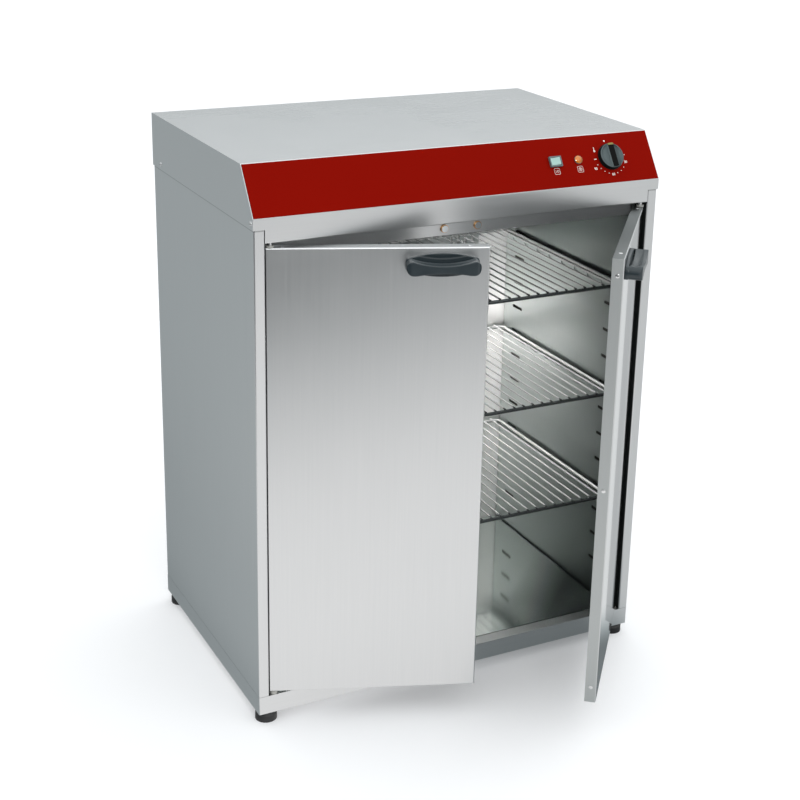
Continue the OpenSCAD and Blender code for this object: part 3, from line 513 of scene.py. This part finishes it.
def makePrint():
    # cream screen print, a little uneven
    material, tree, shader = newMaterial("dialPrint")
    cover = put(tree, "ShaderNodeTexNoise", {"Vector": placeIn(tree), "Scale": ink["grain"], "Detail": 3.0})
    feed(tree, shader, "Base Color", blendColours(tree, cover.outputs["Fac"], ink["dark"], ink["light"]))
    feed(tree, shader, "Roughness", between(tree, cover.outputs["Fac"], *ink["roughness"]))
    return material


knobBlack = makeKnobBlack()
fasciaRed = makeFasciaRed()
lensAmber = makeAmber()
mineralWool = makeWool()
dialPrint = makePrint()

# every node's finish
finishes = {
    caseSteelUpright: ["back_panel", "left_door_inner", "right_door_inner"],
    leftSideSteel: ["left_side_panel"],
    rightSideSteel: ["right_side_panel"],
    leftDoorSteel: ["left_door_skin"],
    rightDoorSteel: ["right_door_skin"],
    caseSteelAcross: ["top_hood", "front_lintel", "base_tray", "liner_ceiling"],
    linerSteel: ["liner_left", "liner_right", "vent_cover", "runners_left", "runners_right"],
    litRearSteel: ["liner_rear"],
    panSteel: ["floor_pan"],
    fasciaRed: ["control_fascia"],
    mineralWool: [
        "insulation_left", "insulation_right", "insulation_rear", "insulation_top",
        "left_door_core", "right_door_core"],
    wireChrome: ["wire_shelf_low", "wire_shelf_middle", "wire_shelf_high"],
    zincScrew: [
        "heater_brackets", "left_hinge_top", "left_hinge_low", "right_hinge_top", "right_hinge_low",
        "foot_nuts", "case_screws", "left_door_screws", "right_door_screws", "thermostat_shaft"],
    magnetCopper: ["magnet_cups"],
    magnetShine: ["magnet_faces"],
    heaterTube: ["heating_element"],
    bulbCopper: ["sensor_bulb"],
    handleBlack: ["left_door_handle", "right_door_handle", "cable_gland"],
    knobBlack: ["thermostat_knob"],
    footBlack: ["feet"],
    switchGrey: ["switch_body", "lamp_body"],
    rockerPale: ["rocker"],
    pointerYellow: ["knob_pointer"],
    bushNylon: ["left_door_bushes", "right_door_bushes"],
    brownMoulding: ["thermostat_body"],
    ivoryMoulding: ["terminal_block"],
    lensAmber: ["lamp_lens"],
}
finishOf = {}
for material, names in finishes.items():
    for name in names:
        nodes[name].data.materials.clear()
        nodes[name].data.materials.append(material)
        finishOf[name] = material
print("finishes set on", len(finishOf), "nodes")


# moulded pulls: the solid's edges melted into soft mouldings
pull = {"voxel": 0.55 * mm, "smoothing": 10, "blend": 0.5, "keep": 0.45}


def meltedPull(nodeName, pieceName, body):
    piece = weldedCopy(nodeName, pieceName, flats=False)
    remesh = piece.modifiers.new("remesh", "REMESH")
    remesh.mode = "VOXEL"
    remesh.voxel_size = pull["voxel"]
    soften = piece.modifiers.new("soften", "SMOOTH")
    soften.factor = pull["blend"]
    soften.iterations = pull["smoothing"]
    thin = piece.modifiers.new("thin", "DECIMATE")
    thin.ratio = pull["keep"]
    settle(piece)
    piece.data.shade_smooth()
    dress(piece, body, finishOf[nodeName], [nodeName])


meltedPull("left_door_handle", "leftPull", "left_door")
meltedPull("right_door_handle", "rightPull", "right_door")
print("pulls moulded")


# round pieces, shaded smooth between their real edges
roundEdge = 32  # degrees between faces that still shade as one
roundPieces = {
    "feet": ("roundFeet", "cabinet"),
    "cable_gland": ("cableGland", "cabinet"),
    "lamp_body": ("lampBezel", "cabinet"),
    "lamp_lens": ("lampLens", "cabinet"),
    "thermostat_knob": ("dialKnob", "knob"),
    "magnet_cups": ("magnetCups", "cabinet"),
    "magnet_faces": ("magnetFaces", "cabinet"),
    "case_screws": ("caseScrews", "cabinet"),
    "left_door_screws": ("leftDoorScrews", "left_door"),
    "right_door_screws": ("rightDoorScrews", "right_door"),
    "left_door_bushes": ("leftDoorBushes", "left_door"),
    "right_door_bushes": ("rightDoorBushes", "right_door"),
}
for nodeName, (pieceName, body) in roundPieces.items():
    piece = weldedCopy(nodeName, pieceName)
    smoothByAngle(piece.data, roundEdge)
    dress(piece, body, finishOf[nodeName], [nodeName])


# softened edges on the small hard mouldings
softEdge = {"segments": 3, "sharp": math.radians(28), "weight": 100}
softPieces = {
    "rocker": ("rockerPaddle", "rocker_paddle", 0.4 * mm),
    "switch_body": ("switchBezel", "cabinet", 0.3 * mm),
}
for nodeName, (pieceName, body, width) in softPieces.items():
    piece = weldedCopy(nodeName, pieceName)
    piece.data.shade_smooth()
    bevel = piece.modifiers.new("bevel", "BEVEL")
    bevel.width = width
    bevel.segments = softEdge["segments"]
    bevel.limit_method = "ANGLE"
    bevel.angle_limit = softEdge["sharp"]
    flatten = piece.modifiers.new("flatten", "WEIGHTED_NORMAL")  # flat faces stay flat up to the rounding
    flatten.weight = softEdge["weight"]
    settle(piece)
    dress(piece, body, finishOf[nodeName], [nodeName])
print("round and soft pieces done")


# wire shelves, woven from one rule
shelf = {"frameWire": 6 * mm, "crossWire": 3 * mm, "count": 34, "corner": 12 * mm, "overhang": 2 * mm,
         "sink": 0.4 * mm, "cornerSteps": 8, "frameSides": 16, "crossSides": 12, "smooth": 40}


def makeShelfTree():
    number = "NodeSocketFloat"
    tree, start, end = newGroup(
        "wireShelf", "GeometryNodeTree",
        [("Geometry", "NodeSocketGeometry"), ("Width", number), ("Depth", number), ("Frame Wire", number),
         ("Cross Wire", number), ("Count", "NodeSocketInt"), ("Corner", number), ("Overhang", number),
         ("Sink", number), ("Finish", "NodeSocketMaterial")],
        [("Geometry", "NodeSocketGeometry")])
    given = start.outputs
    sums = sumsIn(tree)

    def point(x=0.0, y=0.0, z=0.0):
        return put(tree, "ShaderNodeCombineXYZ", {"X": x, "Y": y, "Z": z}).outputs["Vector"]

    def tube(curve, wire, sides):
        ring = put(tree, "GeometryNodeCurvePrimitiveCircle", {
            "Resolution": sides, "Radius": sums(wire, "MULTIPLY", 0.5)})
        return put(tree, "GeometryNodeCurveToMesh", {
            "Curve": curve, "Profile Curve": ring.outputs["Curve"], "Fill Caps": True}).outputs["Mesh"]

    def line(a, b):
        return put(tree, "GeometryNodeCurvePrimitiveLine", {"Start": a, "End": b}).outputs["Curve"]

    halfWidth = sums(given["Width"], "MULTIPLY", 0.5)
    reach = sums(sums(given["Depth"], "MULTIPLY", 0.5), "ADD", given["Overhang"])
    pitch = sums(given["Width"], "DIVIDE", sums(given["Count"], "ADD", 1.0))
    lift = sums(sums(sums(given["Frame Wire"], "ADD", given["Cross Wire"]), "MULTIPLY", 0.5),
                "SUBTRACT", given["Sink"])
    outline = put(tree, "GeometryNodeCurvePrimitiveQuadrilateral", {
        "Width": given["Width"], "Height": given["Depth"]}).outputs["Curve"]
    bent = put(tree, "GeometryNodeFilletCurve", {"Curve": outline, "Radius": given["Corner"]})
    bent.mode = "POLY"
    bent.inputs["Count"].default_value = shelf["cornerSteps"]
    rim = tube(bent.outputs["Curve"], given["Frame Wire"], shelf["frameSides"])
    run = line(point(y=sums(reach, "MULTIPLY", -1.0)), point(y=reach))
    wire = tube(run, given["Cross Wire"], shelf["crossSides"])
    row = put(tree, "GeometryNodeMeshLine", {
        "Count": given["Count"],
        "Start Location": point(x=sums(pitch, "SUBTRACT", halfWidth), z=lift),
        "Offset": point(x=pitch)}, mode="OFFSET")
    wires = put(tree, "GeometryNodeInstanceOnPoints", {"Points": row.outputs["Mesh"], "Instance": wire})
    joined = put(tree, "GeometryNodeJoinGeometry")
    for part in (rim, wires.outputs["Instances"]):
        tree.links.new(part, joined.inputs["Geometry"])
    solid = put(tree, "GeometryNodeRealizeInstances", {"Geometry": joined.outputs["Geometry"]})
    finished = put(tree, "GeometryNodeSetMaterial", {
        "Geometry": solid.outputs["Geometry"], "Material": given["Finish"]})
    tree.links.new(finished.outputs["Geometry"], end.inputs["Geometry"])
    return tree


def grow(pieceName, tree, values):
    # runs a tree with its inputs set by their identifiers
    piece = addPiece(pieceName, bpy.data.meshes.new(pieceName))
    modifier = piece.modifiers.new("grow", "NODES")
    modifier.node_group = tree
    for item in tree.interface.items_tree:
        if item.in_out == "INPUT" and item.name in values:
            modifier[item.identifier] = values[item.name]
    return settle(piece)


shelfTree = makeShelfTree()
shelves = []
for nodeName, pieceName in (
        ("wire_shelf_low", "wireShelfLow"), ("wire_shelf_middle", "wireShelfMiddle"),
        ("wire_shelf_high", "wireShelfHigh")):
    low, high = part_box(nodeName)
    rim = shelf["frameWire"]
    piece = grow(pieceName, shelfTree, {
        "Width": high.x - low.x - rim, "Depth": high.y - low.y - 2 * shelf["overhang"],
        "Frame Wire": rim, "Cross Wire": shelf["crossWire"], "Count": shelf["count"],
        "Corner": shelf["corner"], "Overhang": shelf["overhang"], "Sink": shelf["sink"],
        "Finish": wireChrome})
    piece.data.transform(Matrix.Translation(((low.x + high.x) / 2, (low.y + high.y) / 2, low.z + rim / 2)))
    smoothByAngle(piece.data, shelf["smooth"])
    shelves.append(dress(piece, "cabinet", wireChrome, [nodeName]))
print("shelves woven")


# dial marks, thin print on the fascia: places in millimetres from the knob's centre, up the slope
marks = {"rise": 0.12 * mm, "line": 0.35 * mm, "number": 5.8 * mm, "swell": 0.12 * mm, "dot": 0.8 * mm,
         "numbers": {"90": (-31.5, -17.5), "60": (-1.6, -29.3), "30": (27.0, -10.5)},
         "ring": 28.2 * mm, "dots": [(203, 4, 16), (284, 3, 17), (4, 1, 0)], "dotSides": 14,
         "off": (1.5 * mm, 95), "tick": (-27.8, -1.4), "warmth": (-25.6, 15.6)}

# strokes of the signs in millimetres, and how many times the plain line's weight they are drawn
# the bulb and the rings are a radius and a count of sides
signs = {"half": 5.0, "corner": 2.0, "cornerSides": 4, "y": -15.6,
         "tick": [(-2.2, 0), (2.2, 0)], "tickWeight": 2.2,
         "stem": [(0, -2.2), (0, 3.4)], "stemWeight": 2.0,
         "bulb": (1.1, 12), "bulbDrop": 3.2, "bulbWeight": 2.6,
         "onStroke": [(-2.2, -2.2), (-2.2, 2.2)], "offRing": (1.7, 16), "offShift": 1.6,
         "lampRing": (2.8, 18), "lampCross": 2.0}


def makeDotTree():
    number = "NodeSocketFloat"
    tree, start, end = newGroup(
        "dialDots", "GeometryNodeTree",
        [("Geometry", "NodeSocketGeometry"), ("Count", "NodeSocketInt"), ("First", number), ("Step", number),
         ("Ring", number), ("Dot", number), ("Rise", number), ("Finish", "NodeSocketMaterial")],
        [("Geometry", "NodeSocketGeometry")])
    given = start.outputs
    sums = sumsIn(tree)
    index = put(tree, "GeometryNodeInputIndex").outputs[0]
    angle = sums(sums(sums(index, "MULTIPLY", given["Step"]), "ADD", given["First"]), "RADIANS")
    spot = put(tree, "ShaderNodeCombineXYZ", {
        "X": sums(sums(angle, "COSINE"), "MULTIPLY", given["Ring"]),
        "Y": sums(sums(angle, "SINE"), "MULTIPLY", given["Ring"])})
    spots = put(tree, "GeometryNodePoints", {"Count": given["Count"], "Position": spot.outputs["Vector"]})
    dot = put(tree, "GeometryNodeMeshCylinder", {
        "Vertices": marks["dotSides"], "Radius": given["Dot"], "Depth": sums(given["Rise"], "MULTIPLY", 2.0)})
    placed = put(tree, "GeometryNodeInstanceOnPoints", {
        "Points": spots.outputs[0], "Instance": dot.outputs["Mesh"]})
    solid = put(tree, "GeometryNodeRealizeInstances", {"Geometry": placed.outputs["Instances"]})
    finished = put(tree, "GeometryNodeSetMaterial", {
        "Geometry": solid.outputs["Geometry"], "Material": given["Finish"]})
    tree.links.new(finished.outputs["Geometry"], end.inputs["Geometry"])
    return tree


def asMesh(curve):
    # a curve or a number as a mesh, its object gone
    piece = bpy.data.objects.new("stroke", curve)
    scene.collection.objects.link(piece)
    graph = bpy.context.evaluated_depsgraph_get()
    mesh = bpy.data.meshes.new_from_object(piece.evaluated_get(graph))
    bpy.data.objects.remove(piece)
    return mesh


def printedNumber(body):
    curve = bpy.data.curves.new("number", "FONT")
    curve.body = body
    curve.size = marks["number"]
    curve.align_x = "CENTER"
    curve.align_y = "CENTER"
    curve.extrude = marks["rise"]
    curve.offset = marks["swell"]
    return asMesh(curve)


def printedLine(points, closed=False, weight=1.0):
    curve = bpy.data.curves.new("line", "CURVE")
    curve.dimensions = "3D"
    curve.bevel_depth = marks["line"] * weight
    curve.bevel_resolution = 1
    curve.use_fill_caps = True
    spline = curve.splines.new("POLY")
    spline.points.add(len(points) - 1)
    for spot, (x, y) in zip(spline.points, points):
        spot.co = (x * mm, y * mm, 0, 1)
    spline.use_cyclic_u = closed
    mesh = asMesh(curve)
    flatten = marks["rise"] / (marks["line"] * weight)
    mesh.transform(Matrix.Diagonal((1, 1, flatten, 1)))
    return mesh


def ringPoints(radius, count, first=0.0, sweep=360.0):
    steps = [math.radians(first + sweep * n / count) for n in range(count + (sweep < 360.0))]
    return [(radius * math.cos(a), radius * math.sin(a)) for a in steps]


def iconFrame(half, corner):
    # a rounded square
    points = []
    for n, (sx, sy) in enumerate(((1, 1), (-1, 1), (-1, -1), (1, -1))):
        for x, y in ringPoints(corner, signs["cornerSides"], 90.0 * n, 90.0):
            points.append((sx * (half - corner) + x, sy * (half - corner) + y))
    return points


def makeDialMarks():
    edit = bmesh.new()

    def lay(mesh, x=0.0, y=0.0):
        mesh.transform(fasciaPlane @ Matrix.Translation((x * mm, y * mm, fasciaFace)))
        edit.from_mesh(mesh)

    dotTree = makeDotTree()
    size, angle = marks["off"]
    for dot, (first, count, step) in [(marks["dot"], row) for row in marks["dots"]] + [(size, (angle, 1, 0))]:
        ring = grow("dialDots", dotTree, {
            "Count": count, "First": first, "Step": step, "Ring": marks["ring"], "Dot": dot,
            "Rise": marks["rise"], "Finish": dialPrint})
        lay(ring.data)
        bpy.data.objects.remove(ring)
    for body, (x, y) in marks["numbers"].items():
        lay(printedNumber(body), x, y)
    lay(printedLine(signs["tick"], weight=signs["tickWeight"]), *marks["tick"])
    lay(printedLine(signs["stem"], weight=signs["stemWeight"]), *marks["warmth"])
    warmX, warmY = marks["warmth"]
    bulb = printedLine(ringPoints(*signs["bulb"]), True, signs["bulbWeight"])
    lay(bulb, warmX, warmY - signs["bulbDrop"])
    switchX = (switchCentre.x - knobCentre.x) / mm
    lampX = ((lampLow.x + lampHigh.x) / 2 - knobCentre.x) / mm
    for x in (switchX, lampX):
        lay(printedLine(iconFrame(signs["half"], signs["corner"]), True), x, signs["y"])
    lay(printedLine(signs["onStroke"]), switchX, signs["y"])
    lay(printedLine(ringPoints(*signs["offRing"]), True), switchX + signs["offShift"], signs["y"])
    lay(printedLine(ringPoints(*signs["lampRing"]), True), lampX, signs["y"])
    arm = signs["lampCross"]
    for side in (-1, 1):
        lay(printedLine([(-arm, -arm * side), (arm, arm * side)]), lampX, signs["y"])
    mesh = bpy.data.meshes.new("dialMarks")
    edit.to_mesh(mesh)
    edit.free()
    dress(addPiece("dialMarks", mesh), "cabinet", dialPrint)


makeDialMarks()
print("dial printed")


# camera
view = {"place": (-1.11307, -2.22646, 1.39331), "yaw": 27.96, "pitch": 18.42, "roll": 1.53, "lens": 69.54,
        "sensor": 36.0, "shift": (-0.04375, -0.1)}
cameraData = bpy.data.cameras.new("photoCamera")
camera = bpy.data.objects.new("photoCamera", cameraData)
scene.collection.objects.link(camera)
cameraData.sensor_width = view["sensor"]
cameraData.lens = view["lens"]
cameraData.shift_x, cameraData.shift_y = view["shift"]
turn = (Matrix.Rotation(-math.radians(view["yaw"]), 4, "Z")
        @ Matrix.Rotation(math.radians(90 - view["pitch"]), 4, "X")
        @ Matrix.Rotation(math.radians(view["roll"]), 4, "Z"))
camera.matrix_world = Matrix.Translation(view["place"]) @ turn
scene.camera = camera


# floor, white where it is seen, with the studio's falling light for what mirrors it
# four numbers are a range: from and to in metres, then the light or the shade at each end
# tint's range is of the light's own strength, and its last two are shares of the two tints
floorLight = {
    "half": 40.0, "forward": (-0.8, 0.6), "near": (-0.3, 0.7, 0.78, 1.15), "far": (1.25, 2.45, 1.0, 0.03),
    "beside": (-0.36, -0.34, 1.0, 0.0), "behind": (-0.30, -0.20, 0.0, 1.0),
    "sideFar": (-0.85, -0.52, 0.38, 0.52), "sideNear": (-0.44, -0.375, 0.0, 0.10),
    "gapLeft": (-0.08, 0.08, 0.0, 0.75), "gapRight": (0.30, 0.42, 1.0, 0.0),
    "gapFront": (-0.62, -0.40, 0.0, 1.0),
    "tint": (0.2, 1.1, 0.0, 1.0), "dimTint": (0.86, 0.97, 1.0, 1), "fullTint": (1.0, 0.995, 0.99, 1),
    "paper": (0.90, 0.90, 0.91, 1), "glow": (0.98, 0.985, 1.0, 1), "glowShare": 0.15}


def makeFloor():
    half = floorLight["half"]
    corners = [(-half, -half, 0), (half, -half, 0), (half, half, 0), (-half, half, 0)]
    mesh = bpy.data.meshes.new("studioFloor")
    mesh.from_pydata(corners, [], [(0, 1, 2, 3)])
    floor = addPiece("studioFloor", mesh)
    material = bpy.data.materials.new("studioFloor")
    material.use_nodes = True
    tree = material.node_tree
    tree.nodes.clear()
    sums = sumsIn(tree)
    place = put(tree, "ShaderNodeSeparateXYZ", {0: placeIn(tree)})
    x, y = place.outputs["X"], place.outputs["Y"]

    def ease(value, name):
        fromLow, fromHigh, toLow, toHigh = floorLight[name]
        return put(tree, "ShaderNodeMapRange", {
            "Value": value, "From Min": fromLow, "From Max": fromHigh, "To Min": toLow, "To Max": toHigh},
            interpolation_type="SMOOTHSTEP").outputs["Result"]

    leftwards, frontwards = floorLight["forward"]
    forward = sums(sums(x, "MULTIPLY", leftwards), "SUBTRACT", sums(y, "MULTIPLY", frontwards))
    sideDepth = sums(ease(x, "sideFar"), "ADD", ease(x, "sideNear"))
    leftShade = sums(sums(ease(x, "beside"), "MULTIPLY", ease(y, "behind")), "MULTIPLY", sideDepth)
    # painted shadow of the doors, in the light that the floor gives to what mirrors it
    gapWidth = sums(ease(x, "gapLeft"), "MULTIPLY", ease(x, "gapRight"))
    paintedDoorShadow = sums(gapWidth, "MULTIPLY", ease(y, "gapFront"))
    shaded = sums(sums(1.0, "SUBTRACT", leftShade), "MULTIPLY", sums(1.0, "SUBTRACT", paintedDoorShadow))
    strength = sums(sums(ease(forward, "near"), "MULTIPLY", ease(forward, "far")), "MULTIPLY", shaded)
    tint = blendColours(tree, ease(strength, "tint"), floorLight["dimTint"], floorLight["fullTint"])
    mirrored = put(tree, "ShaderNodeEmission", {"Color": tint, "Strength": strength})
    paper = put(tree, "ShaderNodeBsdfDiffuse", {"Color": floorLight["paper"]})
    glow = put(tree, "ShaderNodeEmission", {"Color": floorLight["glow"], "Strength": 1.0})
    seen = put(tree, "ShaderNodeMixShader", {
        0: floorLight["glowShare"], 1: paper.outputs[0], 2: glow.outputs[0]})
    ray = put(tree, "ShaderNodeLightPath")
    mixed = put(tree, "ShaderNodeMixShader", {
        0: ray.outputs["Is Camera Ray"], 1: mirrored.outputs[0], 2: seen.outputs[0]})
    put(tree, "ShaderNodeOutputMaterial", {"Surface": mixed.outputs[0]})
    material.cycles.emission_sampling = "NONE"  # a floor this wide is found by reflection alone
    mesh.materials.append(material)


makeFloor()


# soft studio light: a pale room, darker at the front left, one overhead light and one front fill,
# and four small fills that reach chosen pieces only
room = {"bright": 0.62, "dark": 0.30, "darkWay": (-0.60, -0.78, -0.20), "fade": (0.35, 0.9),
        "walls": (0.93, 0.985, 1.0, 1), "paper": (1, 1, 1, 1), "paperStrength": 1.2}


def makeRoom():
    world = bpy.data.worlds.new("studioRoom")
    scene.world = world
    world.use_nodes = True
    tree = world.node_tree
    tree.nodes.clear()
    towards = put(tree, "ShaderNodeVectorMath", {
        0: put(tree, "ShaderNodeTexCoord").outputs["Generated"], 1: room["darkWay"]}, operation="DOT_PRODUCT")
    fadeStart, fadeStop = room["fade"]
    depth = put(tree, "ShaderNodeMapRange", {
        "Value": towards.outputs["Value"], "From Min": fadeStart, "From Max": fadeStop,
        "To Min": room["bright"], "To Max": room["dark"]}, interpolation_type="SMOOTHSTEP")
    ray = put(tree, "ShaderNodeLightPath")
    walls = put(tree, "ShaderNodeBackground", {"Color": room["walls"], "Strength": depth.outputs["Result"]})
    paper = put(tree, "ShaderNodeBackground", {"Color": room["paper"], "Strength": room["paperStrength"]})
    mixed = put(tree, "ShaderNodeMixShader", {
        0: ray.outputs["Is Camera Ray"], 1: walls.outputs[0], 2: paper.outputs[0]})
    put(tree, "ShaderNodeOutputWorld", {"Surface": mixed.outputs[0]})


def addLight(name, kind, energy, place, aim, **settings):
    data = bpy.data.lights.new(name, kind)
    data.energy = energy
    for key, value in settings.items():
        setattr(data, key, value)
    light = bpy.data.objects.new(name, data)
    scene.collection.objects.link(light)
    light.location = place
    light.rotation_euler = (Vector(aim) - Vector(place)).to_track_quat("-Z", "Y").to_euler()


def lightOnly(light, pieces, through):
    # a fill that reaches these pieces and no others, through all that stands between if need be
    group = bpy.data.collections.new(light.name)
    for piece in pieces:
        group.objects.link(piece)
    light.light_linking.receiver_collection = group
    if through:
        light.light_linking.blocker_collection = group


lights = {
    "overheadDome": {
        "kind": "SUN", "energy": 2.2, "place": (0.9, -0.1, 4.0), "aim": (0, 0, 0),
        "angle": math.radians(130)},
    "frontFill": {
        "kind": "AREA", "energy": 30.0, "place": (-0.9, -3.6, 1.9), "aim": (0.1, 0.1, 0.4), "size": 1.8},
    "cavityFill": {
        "kind": "AREA", "energy": 3.2, "place": (-0.9, -3.2, 0.45), "aim": (0.16, 0.2, 0.56), "size": 0.35,
        "spread": math.radians(15), "color": (1.0, 0.94, 0.96)},
    "lowFill": {
        "kind": "AREA", "energy": 1.0, "place": (0.2, -1.2, 0.8), "aim": (0.0, 0.2, 0.12), "size": 0.3,
        "spread": math.radians(60)},
    "wireFill": {
        "kind": "AREA", "energy": 32.0, "place": (0.1, 0.5, 1.9), "aim": (0.1, 0.0, 0.3), "size": 0.8},
    "controlFill": {
        "kind": "AREA", "energy": 130.0, "place": (-2.5, -1.5, 1.6), "aim": knobCentre, "size": 0.5},
}

# what each small fill reaches, and whether it passes through the rest
cavitySteel = [nodes[name] for name in (
    "liner_left", "liner_right", "liner_rear", "vent_cover", "floor_pan", "runners_left", "runners_right",
    "left_door_inner")]
lowSteel = [nodes[name] for name in ("liner_rear", "vent_cover", "floor_pan")]
controls = [bpy.data.objects[name] for name in ("dialKnob", "lampLens")]
reached = {
    "cavityFill": (cavitySteel, False), "lowFill": (lowSteel, True), "wireFill": (shelves[:2], True),
    "controlFill": (controls, False)}

makeRoom()
for name, light in lights.items():
    addLight(name, **light)
for name, (pieces, through) in reached.items():
    lightOnly(bpy.data.objects[name], pieces, through)
scene.view_settings.view_transform = "Standard"
print("camera, floor and light set")
